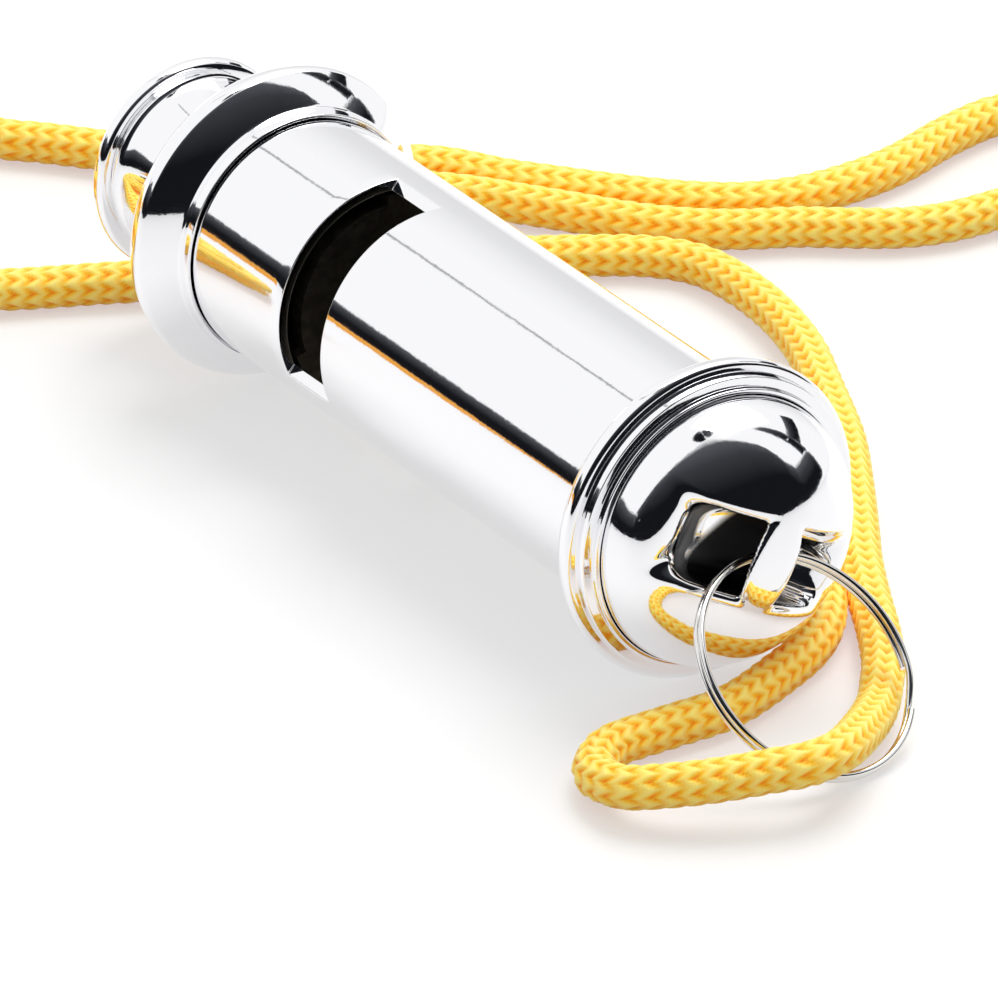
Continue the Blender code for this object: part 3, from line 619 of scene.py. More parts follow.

# %% [markdown]
# The CAD dome is remeshed finely, and each point is moved on to the surface where the blended distance is
# nought. The same distance gives the exact normals, which a mirror needs. How deep a point lies in the
# tunnel is kept as an attribute, which the chrome uses to paint shade there.

# %% Dome's mesh
DOME_VOXEL_MM = 0.16
DOME_SEEN_FROM_MM = 56.1
SETTLE_PASSES = 8
FLATTEST_SLOPE = 0.2
DARK_DEPTH_MM = 0.5
DARK_FADE_MM = 0.8
DARK_LEFT_MM = 2.6
DARK_SLANT = 0.9
DARK_RIGHT_MM = 4.5


def dome_mesh():
    blank = bpy.data.objects.new("dome_blank", cad_copy("cap_dome", "dome"))
    bpy.context.scene.collection.objects.link(blank)
    remesh = blank.modifiers.new("fine grid", "REMESH")
    remesh.mode = "VOXEL"
    remesh.voxel_size = DOME_VOXEL_MM * MM
    mesh = applied(blank)
    mesh.transform(whistle_place.inverted())
    p = np.empty(len(mesh.vertices) * 3)
    mesh.vertices.foreach_get("co", p)
    p = p.reshape(-1, 3) / MM
    seen = p[:, 2] > DOME_SEEN_FROM_MM
    for _ in range(SETTLE_PASSES):
        slope = distance_slope(p[seen])
        steepness = np.maximum((slope ** 2).sum(1), FLATTEST_SLOPE)
        p[seen] -= slope * (dome_distance(p[seen]) / steepness)[:, None]
    mesh.vertices.foreach_set("co", (p * MM).ravel())
    mesh.update()
    mesh.shade_smooth()
    normals = np.empty(len(mesh.vertices) * 3)
    mesh.vertex_normals.foreach_get("vector", normals)
    normals = normals.reshape(-1, 3)
    slope = distance_slope(p[seen])
    normals[seen] = slope / np.linalg.norm(slope, axis=1)[:, None]
    mesh.normals_split_custom_set_from_vertices(normals)
    farthest = np.abs(dome_distance(p[seen])).max()
    print(f"dome points: {len(p)}, farthest off the surface: {farthest:.4f} mm")
    shell, _, through, sideways, _ = dome_parts(p)
    # This value marks where the tunnel under the bridge gets painted shade.
    left_of_bridge = np.clip(DARK_LEFT_MM - DARK_SLANT * sideways + through, 0, 1)
    right_of_bridge = np.clip(DARK_RIGHT_MM - through, 0, 1)
    deep = np.clip((-shell - DARK_DEPTH_MM) / DARK_FADE_MM, 0, 1)
    recess_shade = deep * left_of_bridge * right_of_bridge * seen
    mesh.attributes.new("recess_shade", "FLOAT", "POINT").data.foreach_set("value", recess_shade.astype(np.float32))
    mesh.transform(whistle_place)
    return mesh


new_piece("dome", dome_mesh(), dome_chrome_painted_shade, "whistle", "cap_dome")

# %% [markdown]
# ## The split ring
# A split ring is two turns of spring steel wire, with a short step where the wire changes from one turn to
# the other and a free end on each face beside it. One curve along the wire, with a round bevel, gives all of
# that. The wire was bright drawn and then nickel plated: it is nearly a mirror, a little warmer than chrome,
# with a trace of the drawing.

# %% Split ring
RING_RADIUS_MM = 8.2
RING_WIRE_MM = 0.5
RING_TURN_STEP_MM = 0.54
RING_SEAT_MM = 61.4
RING_SIDE_SHIFT_MM = 2.8
RING_RISE_MM = 0.9
RING_SKEW = math.radians(17)
RING_DROOP = math.radians(43.41)
RING_END_ANGLE = math.radians(90)
RING_STEP_HALF_ANGLE = math.radians(12)
RING_POINTS = 400
DRAWING_MM = 0.35
DRAWING_DEPTH_MM = 0.002

nickel, tree, shader = new_material(
    "nickel plate on drawn spring steel", Base_Color=linear("#E9E8E6"), Metallic=1.0, Roughness=0.07,
)
place = add_node(tree, "ShaderNodeTexCoord").outputs["Object"]
drawing = add_node(tree, "ShaderNodeTexNoise", {"Vector": place, "Scale": per_mm(DRAWING_MM), "Detail": 2.0})
bump = add_node(tree, "ShaderNodeBump", {
    "Height": drawing.outputs["Fac"], "Distance": DRAWING_DEPTH_MM * MM,
})
tree.links.new(bump.outputs["Normal"], shader.inputs["Normal"])


def ring_points():
    """Points along the wire. The shift carries it from one turn to the other within the step."""
    side = Vector((1, 0, 0))
    away = Vector((0, -math.sin(RING_DROOP), math.cos(RING_DROOP)))
    along = math.cos(RING_SKEW) * side + math.sin(RING_SKEW) * away.cross(side)
    normal = away.cross(along)
    centre = Vector((RING_SIDE_SHIFT_MM, RING_RISE_MM, RING_SEAT_MM)) + RING_RADIUS_MM * away
    first = RING_END_ANGLE + RING_STEP_HALF_ANGLE
    sweep = 2 * math.tau - 2 * RING_STEP_HALF_ANGLE
    points = []
    for i in range(RING_POINTS + 1):
        angle = first + sweep * i / RING_POINTS
        step = (angle - RING_END_ANGLE - math.tau + RING_STEP_HALF_ANGLE) / (2 * RING_STEP_HALF_ANGLE)
        shift = RING_TURN_STEP_MM * (eased(min(1, max(0, step))) - 0.5)
        spoke = math.cos(angle) * away + math.sin(angle) * along
        points.append((centre + RING_RADIUS_MM * spoke + shift * normal) * MM)
    return points


wire = bpy.data.curves.new("wire", "CURVE")
wire.dimensions = "3D"
wire.bevel_depth = RING_WIRE_MM * MM / 2
wire.bevel_resolution = 6
wire.use_fill_caps = True
spline = wire.splines.new("POLY")
points = ring_points()
spline.points.add(len(points) - 1)
for point, spot in zip(spline.points, points):
    point.co = (*spot, 1)
blank = bpy.data.objects.new("wire_blank", wire)
bpy.context.scene.collection.objects.link(blank)
blank.matrix_world = whistle_place
mesh = applied(blank)
mesh.shade_smooth()
mesh.set_sharp_from_angle(angle=math.radians(40))
new_piece("ring_wire", mesh, nickel, "ring", "split_ring")
print("ring wire", round(2 * math.tau * RING_RADIUS_MM), "mm long")

# %% [markdown]
# ## The lanyard's route
# The lanyard is one closed loop of knitted cord, 3.1 mm thick and 0.94 m long, joined by a crimped ferrule
# behind the barrel. From there it goes round the cap, through the ring, past the far side of the barrel and
# under the mouthpiece. What lies outside the picture is put away as a tied coil. Its points were chosen and
# lie on the table, measured from a spot below the barrel. They are in metres.

# %% Route
CORD_DIAMETER = 3.1 * MM
FLOOR_RUN = CORD_DIAMETER / 2 + 0.05 * MM
CRIMP_PLACE = Vector((-0.0010, 0.0134, 2.25 * MM))
CRIMP_LENGTH = 9.0 * MM
RING_LOOP_ROUTE = [
    (0.0080, 0.0135, 0.0018), (0.0125, 0.0136, FLOOR_RUN), (0.0175, 0.0134, FLOOR_RUN),
    (0.0222, 0.0126, FLOOR_RUN), (0.0270, 0.0097, FLOOR_RUN), (0.0299, 0.0067, FLOOR_RUN),
    (0.0322, 0.0025, FLOOR_RUN), (0.0344, -0.0030, FLOOR_RUN), (0.0347, -0.0080, FLOOR_RUN),
    (0.0348, -0.0115, FLOOR_RUN), (0.0352, -0.0134, FLOOR_RUN), (0.0363, -0.0150, FLOOR_RUN),
    (0.0379, -0.0161, 0.0017), (0.0398, -0.0165, 0.0021), (0.0419, -0.0163, 0.0026),
    (0.0437, -0.0149, 0.0031), (0.0457, -0.0120, 0.0036), (0.0472, -0.0084, 0.0040),
    (0.0480, -0.0058, 0.0042), (0.0469, -0.0026, 0.0038), (0.0434, 0.0016, 0.0027),
    (0.0398, 0.0052, 0.0017), (0.0370, 0.0075, FLOOR_RUN), (0.0343, 0.0095, FLOOR_RUN),
    (0.0303, 0.0118, FLOOR_RUN), (0.0264, 0.0138, FLOOR_RUN), (0.0216, 0.0164, FLOOR_RUN),
]
BACK_ROUTE = [
    (0.0174, 0.0190, FLOOR_RUN), (0.0110, 0.0229, FLOOR_RUN), (0.0050, 0.0263, FLOOR_RUN),
    (-0.0025, 0.0296, FLOOR_RUN), (-0.0078, 0.0318, FLOOR_RUN), (-0.0135, 0.0332, FLOOR_RUN),
    (-0.0189, 0.0336, FLOOR_RUN), (-0.0231, 0.0330, FLOOR_RUN), (-0.0261, 0.0308, FLOOR_RUN),
    (-0.0281, 0.0279, FLOOR_RUN), (-0.0298, 0.0250, FLOOR_RUN), (-0.0320, 0.0205, FLOOR_RUN),
    (-0.0345, 0.0140, FLOOR_RUN), (-0.0378, 0.0065, FLOOR_RUN), (-0.0405, 0.0005, FLOOR_RUN),
    (-0.0430, -0.0049, FLOOR_RUN), (-0.0444, -0.0083, FLOOR_RUN), (-0.0459, -0.0122, 0.0018),
    (-0.0473, -0.0170, 0.0030),
]
SIDE_ROUTE = [
    (-0.0742, -0.0031, FLOOR_RUN), (-0.0674, 0.0016, FLOOR_RUN),
    (-0.0654, 0.0036, FLOOR_RUN), (-0.0623, 0.0064, FLOOR_RUN), (-0.0570, 0.0110, FLOOR_RUN),
    (-0.0522, 0.0170, FLOOR_RUN), (-0.0497, 0.0220, FLOOR_RUN), (-0.0466, 0.0262, FLOOR_RUN),
    (-0.0426, 0.0289, FLOOR_RUN), (-0.0397, 0.0313, FLOOR_RUN), (-0.0369, 0.0337, FLOOR_RUN),
    (-0.0344, 0.0360, FLOOR_RUN), (-0.0320, 0.0386, FLOOR_RUN), (-0.0300, 0.0416, FLOOR_RUN),
    (-0.0288, 0.0455, FLOOR_RUN), (-0.0287, 0.0499, FLOOR_RUN), (-0.0295, 0.0548, FLOOR_RUN),
    (-0.0316, 0.0608, FLOOR_RUN), (-0.0325, 0.0660, FLOOR_RUN), (-0.0304, 0.0692, FLOOR_RUN),
    (-0.0269, 0.0707, FLOOR_RUN), (-0.0232, 0.0699, FLOOR_RUN), (-0.0207, 0.0671, FLOOR_RUN),
    (-0.0199, 0.0632, FLOOR_RUN), (-0.0194, 0.0568, FLOOR_RUN),
    (-0.0195, 0.0524, FLOOR_RUN), (-0.0206, 0.0487, FLOOR_RUN), (-0.0225, 0.0456, FLOOR_RUN),
    (-0.0246, 0.0425, FLOOR_RUN), (-0.0261, 0.0394, FLOOR_RUN), (-0.0281, 0.0363, FLOOR_RUN),
    (-0.0311, 0.0332, FLOOR_RUN), (-0.0348, 0.0304, FLOOR_RUN), (-0.0385, 0.0276, FLOOR_RUN),
    (-0.0418, 0.0250, FLOOR_RUN), (-0.0444, 0.0220, FLOOR_RUN), (-0.0454, 0.0185, 0.0018),
    (-0.0443, 0.0150, 0.0026), (-0.0405, 0.0126, 0.0042), (-0.0355, 0.0121, 0.0056),
    (-0.0310, 0.0124, 0.0045), (-0.0265, 0.0130, 0.0027), (-0.0215, 0.0134, 0.0018),
    (-0.0160, 0.0135, FLOOR_RUN), (-0.0110, 0.0134, 0.0018),
]
print("route:", len(RING_LOOP_ROUTE) + len(BACK_ROUTE) + len(SIDE_ROUTE), "points outside the coil")

# %% [markdown]
# A smooth curve goes through all points, and is then stepped evenly, with six rows for each stitch. The
# coil is a flat spiral in two layers, 4.6 turns in all. The tie goes under it and lifts it a little there.

# %% Smooth curve
COIL_CENTRE = (-0.0700, -0.0270)
COIL_OUTER_RADIUS = 0.0210
COIL_START = math.radians(135)
COIL_TURNS = 4.61
COIL_GAP = 0.45 * MM
STEPS_PER_TURN = 160
ROUTE_STEPS = 24
TIE_ANGLE = math.radians(250)
TIE_LIFT = 0.8 * MM
KNIT_PITCH = 1.38 * MM
ROWS_PER_STITCH = 6
ROW_SPACING = KNIT_PITCH / ROWS_PER_STITCH
CRIMP_GRIP = 1.5 * MM


def smooth_route(corners):
    """A Catmull-Rom curve through the corners, finely stepped."""
    corners = np.array([tuple(c) for c in corners])
    padded = np.vstack([2 * corners[0] - corners[1], corners, 2 * corners[-1] - corners[-2]])
    steps = np.arange(ROUTE_STEPS)[:, None] / ROUTE_STEPS
    pieces = []
    for before, start, end, after in zip(padded, padded[1:], padded[2:], padded[3:]):
        square = 2 * before - 5 * start + 4 * end - after
        cube = 3 * start - before - 3 * end + after
        pieces.append(start + 0.5 * ((end - before) * steps + square * steps ** 2 + cube * steps ** 3))
    return np.vstack([*pieces, corners[-1:]])


def coil_route():
    """Spirals in on the lower layer, climbs in the half turn where it reverses, and spirals out on top."""
    turn = np.linspace(0, COIL_TURNS, round(COIL_TURNS * STEPS_PER_TURN))
    angle = COIL_START + math.tau * turn
    pitch = CORD_DIAMETER + COIL_GAP
    radius = COIL_OUTER_RADIUS - pitch * np.minimum(turn, COIL_TURNS - turn)
    climb = np.clip((turn - COIL_TURNS / 2 + 0.25) / 0.5, 0, 1)
    height = FLOOR_RUN + pitch * eased(climb)
    height += TIE_LIFT * (0.5 + 0.5 * np.cos(angle - TIE_ANGLE))
    x, y = COIL_CENTRE
    return np.stack([x + radius * np.cos(angle), y + radius * np.sin(angle), height], 1)


def run_out(end, beyond):
    """The end of the coil and two points past it, one and two diameters on, in line with it and level."""
    run = (end - beyond) * (1, 1, 0)
    step = run / np.linalg.norm(run) * CORD_DIAMETER
    return [end, end + step, end + 2 * step]


def evenly(points, spacing):
    """The same line with its points a fixed distance apart."""
    lengths = np.r_[0, np.cumsum(np.linalg.norm(np.diff(points, axis=0), axis=1))]
    wanted = np.linspace(0, lengths[-1], round(lengths[-1] / spacing) + 1)
    return np.stack([np.interp(wanted, lengths, points[:, k]) for k in range(3)], 1)


coil = coil_route()
crimp_end = Vector((CRIMP_LENGTH / 2 - CRIMP_GRIP, 0, 0))
outward = smooth_route([CRIMP_PLACE + crimp_end, *RING_LOOP_ROUTE, *BACK_ROUTE,
                        *run_out(coil[-1], coil[-2])[::-1]])
homeward = smooth_route([*run_out(coil[0], coil[1]), *SIDE_ROUTE, CRIMP_PLACE - crimp_end])
cord_path = evenly(np.vstack([outward, coil[::-1][1:-1], homeward]) + np.array(route_datum), ROW_SPACING)
cord_length = np.linalg.norm(np.diff(cord_path, axis=0), axis=1).sum()
print(f"cord {cord_length * 1000:.0f} mm in {len(cord_path)} rows")

# %% [markdown]
# ## Knitted polyester cord
# The cord is a knitted tube: eight upright columns of stitches, each a nest of V shapes a little over a
# millimetre apart, filled with a soft core. The stitches give the cord its scalloped outline, so they are
# real relief in the mesh: a ridge for each leg of each V. Between two Vs the surface falls to a deep notch in
# the column's middle, and stays higher at the column's edges, where legs of two columns lie side by side. How
# high a point lies is kept as an attribute, from which the yarn's colour paints shade in the valleys and
# highlight on the ridges.

# %% Stitches
COLUMNS = 8
POINTS_PER_COLUMN = 6
V_SLANT = 0.55
STITCH_DEPTH = 0.30 * MM
LEG_FULLNESS = 0.7
V_TIP_HEIGHT = 0.85
EDGE_VALLEY_HEIGHT = 0.62
NOTCH_WIDTH = 1.2


def stitch_relief(around, along):
    """The yarn's height, 0 to 1, at a place in columns around the cord and in stitches along it."""
    across = np.abs((around % 1) * 2 - 1)
    leg = (0.5 + 0.5 * np.cos(math.tau * (along - V_SLANT * across))) ** LEG_FULLNESS
    ridge = V_TIP_HEIGHT + (1 - V_TIP_HEIGHT) * across
    valley = EDGE_VALLEY_HEIGHT * across ** NOTCH_WIDTH
    return leg * ridge + (1 - leg) * valley


print(f"a column's middle: ridge {stitch_relief(0.5, 0):.2f}, valley {stitch_relief(0.5, 0.5):.2f}")

# %% [markdown]
# The tube is swept along the route without twist, one ring of points for each row. Its own unwrapping cuts
# the length into ten strips that lie side by side, so that a map of it can hold its colours at one scale.

# %% Knitted tube
UV_STRIPS = 10
UV_FILL = 0.98
CAP_UV = [[0.001, 0.990], [0.003, 0.998], [0.005, 0.990]]


def carried_frames(points):
    """Directions along, and two across, at each point, carried on without twist."""
    along = np.gradient(points, axis=0)
    along /= np.linalg.norm(along, axis=1)[:, None]
    across = np.empty_like(along)
    across[0] = np.cross(along[0], (0, 0, 1))
    for i in range(1, len(points)):
        carried = across[i - 1] - along[i] * (across[i - 1] @ along[i])
        across[i] = carried / np.linalg.norm(carried)
    return along, across, np.cross(along, across)


def knitted_tube(points):
    """The cord's mesh along these points, with its relief and its unwrapping."""
    rows, ring_size = len(points), COLUMNS * POINTS_PER_COLUMN
    along, across, upward = carried_frames(points)
    angle = np.arange(ring_size) / ring_size * math.tau
    stitches = np.arange(rows)[:, None] * ROW_SPACING / KNIT_PITCH
    relief = stitch_relief(np.arange(ring_size)[None] / POINTS_PER_COLUMN, stitches)
    radius = CORD_DIAMETER / 2 - STITCH_DEPTH * (1 - relief)
    spots = points[:, None] + radius[..., None] * (
        np.cos(angle)[None, :, None] * across[:, None] + np.sin(angle)[None, :, None] * upward[:, None])
    verts = np.vstack([spots.reshape(-1, 3), points[:1], points[-1:]])
    row = np.arange(rows - 1)[:, None] * ring_size
    here = np.arange(ring_size)[None]
    beside = (here + 1) % ring_size
    next_row = row + ring_size
    quads = np.stack([row + here, row + beside, next_row + beside, next_row + here], -1).reshape(-1, 4)
    last = (rows - 1) * ring_size
    caps = [(rows * ring_size, (i + 1) % ring_size, i) for i in range(ring_size)]
    caps += [(rows * ring_size + 1, last + i, last + (i + 1) % ring_size) for i in range(ring_size)]
    mesh = bpy.data.meshes.new("knitted_cord")
    mesh.from_pydata(verts.tolist(), [], quads[:, ::-1].tolist() + caps)
    mesh.shade_smooth()
    mesh.attributes.new("relief", "FLOAT", "POINT").data.foreach_set(
        "value", np.r_[relief.ravel(), 0, 0].astype(np.float32))
    across_uv = np.stack([here, here + 1, here + 1, here], -1) / ring_size * UV_FILL
    along_uv = np.arange(rows - 1)[:, None, None] + np.array([0, 0, 1, 1])[None, None]
    strip = np.arange(rows - 1)[:, None, None] * UV_STRIPS // rows
    u = (strip + across_uv) / UV_STRIPS
    v = (along_uv * UV_STRIPS / rows - strip) * UV_FILL
    quad_uv = np.stack(np.broadcast_arrays(u, v), -1)[..., ::-1, :].reshape(-1, 2)
    cap_uv = np.tile(CAP_UV, (len(caps), 1))
    mesh.uv_layers.new(name="OFBake").data.foreach_set("uv", np.vstack([quad_uv, cap_uv]).ravel())
    return mesh


print(f"{len(cord_path)} rows of {COLUMNS * POINTS_PER_COLUMN} points")

# %% [markdown]
# ## Dyed polyester yarn
# The cord is knitted from fine polyester threads, which scatter light softly and give no sharp highlight, so
# the shader is rough with some light passing through below its surface. The yellow dye is painted orange in
# the valleys as painted shade, and pale yellow on the ridges as painted highlight. The yarn also has a faint
# orange glow of its own, painted light that keeps the shaded cord orange. Real fibres are finer than 0.02 mm,
# and are drawn at 0.1 mm, the finest that shows.

# %% Yarn
# The ridge colour is painted highlight and the valley colour is painted shade; the middle is the dye's own
# yellow.
YARN_RIDGE_HIGHLIGHT = "#FFF688"
YARN_MIDDLE = "#FFD220"
YARN_VALLEY_SHADE = "#FF8A00"
# The orange glow is painted light: the yarn is no lamp.
PAINTED_GLOW_COLOUR = "#FF5400"
PAINTED_GLOW_STRENGTH = 0.15
FIBRE_MM = 0.10
FIBRE_DEPTH_MM = 0.05
FIBRE_SHARE = 0.22

yarn, tree, shader = new_material(
    "knitted polyester yarn, dyed yellow", Roughness=0.55, Sheen_Weight=0.1, Sheen_Roughness=0.4,
    Specular_IOR_Level=0.35, Subsurface_Weight=0.5, Subsurface_Radius=(1.0, 0.45, 0.08),
    Subsurface_Scale=1.0 * MM, Emission_Color=linear(PAINTED_GLOW_COLOUR), Emission_Strength=PAINTED_GLOW_STRENGTH,
)
height = add_node(tree, "ShaderNodeAttribute", attribute_name="relief")
place = add_node(tree, "ShaderNodeTexCoord").outputs["Object"]
fibres = add_node(tree, "ShaderNodeTexNoise", {"Vector": place, "Scale": per_mm(FIBRE_MM), "Detail": 2.0})
shade = add_node(tree, "ShaderNodeMix", {
    "Factor": FIBRE_SHARE, "A": height.outputs["Fac"], "B": fibres.outputs["Fac"],
}, data_type="FLOAT")
# This ramp paints shade into the valleys and highlight onto the ridges.
dye_with_painted_light = add_node(tree, "ShaderNodeValToRGB", {"Fac": shade.outputs["Result"]})
dye_with_painted_light.color_ramp.elements[0].position = 0.10
dye_with_painted_light.color_ramp.elements[0].color = linear(YARN_VALLEY_SHADE)
dye_with_painted_light.color_ramp.elements[1].position = 0.85
dye_with_painted_light.color_ramp.elements[1].color = linear(YARN_RIDGE_HIGHLIGHT)
dye_with_painted_light.color_ramp.elements.new(0.45).color = linear(YARN_MIDDLE)
tree.links.new(dye_with_painted_light.outputs["Color"], shader.inputs["Base Color"])
bump = add_node(tree, "ShaderNodeBump", {"Height": fibres.outputs["Fac"], "Distance": FIBRE_DEPTH_MM * MM})
tree.links.new(bump.outputs["Normal"], shader.inputs["Normal"])
print("yarn:", YARN_VALLEY_SHADE, YARN_MIDDLE, YARN_RIDGE_HIGHLIGHT)

# %% [markdown]
# ## The ferrule
# The lanyard's two ends meet in a short brass ferrule that was squeezed in two places to grip them. It is
# turned here with its two dents as shallow waves, and its rims roll in over the cord.

# %% Ferrule
FERRULE_RADIUS_MM = 2.2
FERRULE_BORE_MM = 1.62
FERRULE_RIM_MM = 0.35
FERRULE_STEPS = 60
DENT_DEPTH_MM = 0.22
DENT_PLACE_MM = 2.0
DENT_WIDTH_MM = 0.7

profile = []
half = CRIMP_LENGTH / MM / 2
for i in range(FERRULE_STEPS + 1):
    height = half * (1 - 2 * i / FERRULE_STEPS)
    dent = DENT_DEPTH_MM * sum(
        math.exp(-((height - middle) / DENT_WIDTH_MM) ** 2) for middle in (DENT_PLACE_MM, -DENT_PLACE_MM))
    rim = max(0, abs(height) - half + FERRULE_RIM_MM) ** 2 / FERRULE_RIM_MM
    profile.append((FERRULE_RADIUS_MM - dent - rim, height))
profile += [(FERRULE_BORE_MM, -half), (FERRULE_BORE_MM, half)]
mesh = spun("ferrule", profile)
mesh.transform(whistle_place.inverted())
mesh.transform(Matrix.Translation(route_datum + CRIMP_PLACE) @ Matrix.Rotation(math.radians(90), 4, "Y"))
ferrule = new_piece("ferrule", mesh, chrome, "whistle", "cord_crimp")
print(f"ferrule {CRIMP_LENGTH / MM:.0f} mm long")

# %% [markdown]
# ## The coil's tie
# The put-away coil is held by a black woven nylon strap. Its threads cross at right angles, which gives the
# eye a fine grid of dull dots. The CAD strap has the right shape, so a copy of it only gets softer edges.

# %% Coil tie
STRAP_THREAD_MM = 0.35
STRAP_RELIEF_MM = 0.08
STRAP_EDGE_MM = 0.12
STRAP_EDGE_DEG = 50
STRAP_DARK = "#141414"
STRAP_LIGHT = "#3C3B39"

strap, tree, shader = new_material(
    "woven nylon strap, black", Roughness=0.7, Sheen_Weight=0.3, Sheen_Roughness=0.5)
place = add_node(tree, "ShaderNodeTexCoord").outputs["Object"]
weave = [add_node(tree, "ShaderNodeTexWave", {
    "Vector": place, "Scale": per_mm(STRAP_THREAD_MM * math.tau), "Distortion": 0.4,
}, bands_direction=axis).outputs["Fac"] for axis in ("DIAGONAL", "Z")]
threads = add_node(tree, "ShaderNodeMath", {0: weave[0], 1: weave[1]}, operation="MULTIPLY").outputs[0]
thread_colour = add_node(tree, "ShaderNodeValToRGB", {"Fac": threads})
thread_colour.color_ramp.elements[0].color = linear(STRAP_DARK)
thread_colour.color_ramp.elements[1].color = linear(STRAP_LIGHT)
tree.links.new(thread_colour.outputs["Color"], shader.inputs["Base Color"])
bump = add_node(tree, "ShaderNodeBump", {"Height": threads, "Distance": STRAP_RELIEF_MM * MM})
tree.links.new(bump.outputs["Normal"], shader.inputs["Normal"])

mesh = cad_copy("coil_tie", "tie_strap", flat_deg=1)
mesh.shade_smooth()
tie = new_piece("tie_strap", mesh, strap, "whistle", "coil_tie")
soften(tie, STRAP_EDGE_MM, STRAP_EDGE_DEG)
print("strap faces before softening:", len(mesh.polygons))

# %% [markdown]
# ## The cord as a piece
# The cord is one mesh in the frame that rides no body, and it takes the place of the CAD cord's four pieces.

cord = new_piece("knitted_cord", knitted_tube(cord_path), yarn, None)
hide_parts("cord_ring_loop", "cord_back", "cord_side", "cord_coil")
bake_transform(cord)
print("cord faces:", len(cord.data.polygons))

# %% [markdown]
# ## The pieces inside
# The divider plate, the two windway blocks and the two chamber stops are sawn brass without plating. They
# show only through the windows, where it is dark. Their CAD shapes are right, so they only get a dull brass,
# greyed and darkened as painted shade for the dark inside the tube, with patches that differ at random.

# %% Bare brass
TARNISH_MM = 1.5
TARNISH_DEPTH_MM = 0.01
# Both brass tones are greyed and darkened as painted shade for the dark inside the tube.
SHADED_BRASS_DARK = "#77736B"
SHADED_BRASS_LIGHT = "#A39C8C"
INNER_PIECES = ("divider_plate", "windway_block_left", "windway_block_right", "chamber_stop_left",
                "chamber_stop_right")

brass, tree, shader = new_material("bare brass, greyed as painted shade", Metallic=1.0, Roughness=0.38)
place = add_node(tree, "ShaderNodeTexCoord").outputs["Object"]
tarnish = add_node(tree, "ShaderNodeTexNoise", {
    "Vector": place, "Scale": per_mm(TARNISH_MM), "Detail": 5.0, "Roughness": 0.65,
})
# Random patches between two tones, both darkened as painted shade.
brass_tint_with_painted_shade = add_node(tree, "ShaderNodeValToRGB", {"Fac": tarnish.outputs["Fac"]})
brass_tint_with_painted_shade.color_ramp.elements[0].position = 0.35
brass_tint_with_painted_shade.color_ramp.elements[0].color = linear(SHADED_BRASS_DARK)
brass_tint_with_painted_shade.color_ramp.elements[1].position = 0.7
brass_tint_with_painted_shade.color_ramp.elements[1].color = linear(SHADED_BRASS_LIGHT)
tree.links.new(brass_tint_with_painted_shade.outputs["Color"], shader.inputs["Base Color"])
bump = add_node(tree, "ShaderNodeBump", {
    "Height": tarnish.outputs["Fac"], "Distance": TARNISH_DEPTH_MM * MM,
})
tree.links.new(bump.outputs["Normal"], shader.inputs["Normal"])
for node in INNER_PIECES:
    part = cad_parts[node]
    for i in range(len(part.data.materials)):
        part.data.materials[i] = brass
print("bare brass:", ", ".join(INNER_PIECES))

# %% [markdown]
# ## Studio
# Chrome is photographed in a white tent, with a few dark cards to draw its edges. The floor is a matt white
# sheet. It is a little grey as a surface, so that it keeps the whistle's shadow, and glows enough for the
# camera and for mirrors to come out nearly white. The world is white where the camera or a mirror sees it,
# and dimmer as a light, so that colours render about as they are written.

# %% Floor and world
WORLD_LIGHT = 0.68
FLOOR_COLOUR = "#B2B2B2"
FLOOR_GLOW = 0.48
FLOOR_REACH = 1.5
FLOOR_DROP = 0.03 * MM


def new_object(name, points, faces, material):
    mesh = bpy.data.meshes.new(name)
    mesh.from_pydata([tuple(point) for point in points], [], faces)
    mesh.materials.append(material)
    obj = bpy.data.objects.new(name, mesh)
    bpy.context.scene.collection.objects.link(obj)
    return obj


def seen_directly(tree):
    """A socket that is 1 for rays from the camera or a mirror, and 0 for rays that carry light."""
    ray = add_node(tree, "ShaderNodeLightPath")
    return add_node(tree, "ShaderNodeMath", {
        0: ray.outputs["Is Camera Ray"], 1: ray.outputs["Is Glossy Ray"],
    }, operation="MAXIMUM").outputs[0]


floor_material, tree, shader = new_material("white sheet", Base_Color=linear(FLOOR_COLOUR), Roughness=0.5)
glow = add_node(tree, "ShaderNodeMath", {0: seen_directly(tree), 1: FLOOR_GLOW}, operation="MULTIPLY")
white = add_node(tree, "ShaderNodeEmission", {"Color": (1, 1, 1, 1), "Strength": glow.outputs[0]})
both = add_node(tree, "ShaderNodeAddShader", {0: shader.outputs["BSDF"], 1: white.outputs["Emission"]})
tree.links.new(both.outputs["Shader"], tree.nodes["Material Output"].inputs["Surface"])
floor_corners = [
    (x * FLOOR_REACH, y * FLOOR_REACH, -FLOOR_DROP) for x, y in ((-1, -1), (1, -1), (1, 1), (-1, 1))
]
new_object("floor", floor_corners, [(0, 1, 2, 3)], floor_material)

world = bpy.data.worlds.new("white tent")
bpy.context.scene.world = world
world.use_nodes = True
tree = world.node_tree
level = add_node(tree, "ShaderNodeMapRange", {
    "Value": seen_directly(tree), "To Min": WORLD_LIGHT, "To Max": 1.0,
})
tree.links.new(level.outputs["Result"], tree.nodes["Background"].inputs["Strength"])
tree.nodes["Background"].inputs["Color"].default_value = (1, 1, 1, 1)
print(f"world: 1 where it is seen, {WORLD_LIGHT} as a light")

# %% [markdown]
# ## Dark cards
# What makes polished metal look like metal is the dark that it mirrors. The dark was read off the picture as
# directions from the whistle: a band along the horizon, a tall arch of dark room on the camera's side, some
# narrow bars to the right of it, and a dark ceiling. Each becomes a card far away, drawn as stations of
# azimuth with a low and a high elevation, whose rim fades into the white. A pale grey wall, a seam of the
# tent and a warm sheet on the floor give the finer tints. Only mirror-like reflections see the cards, so
# they take no light away.

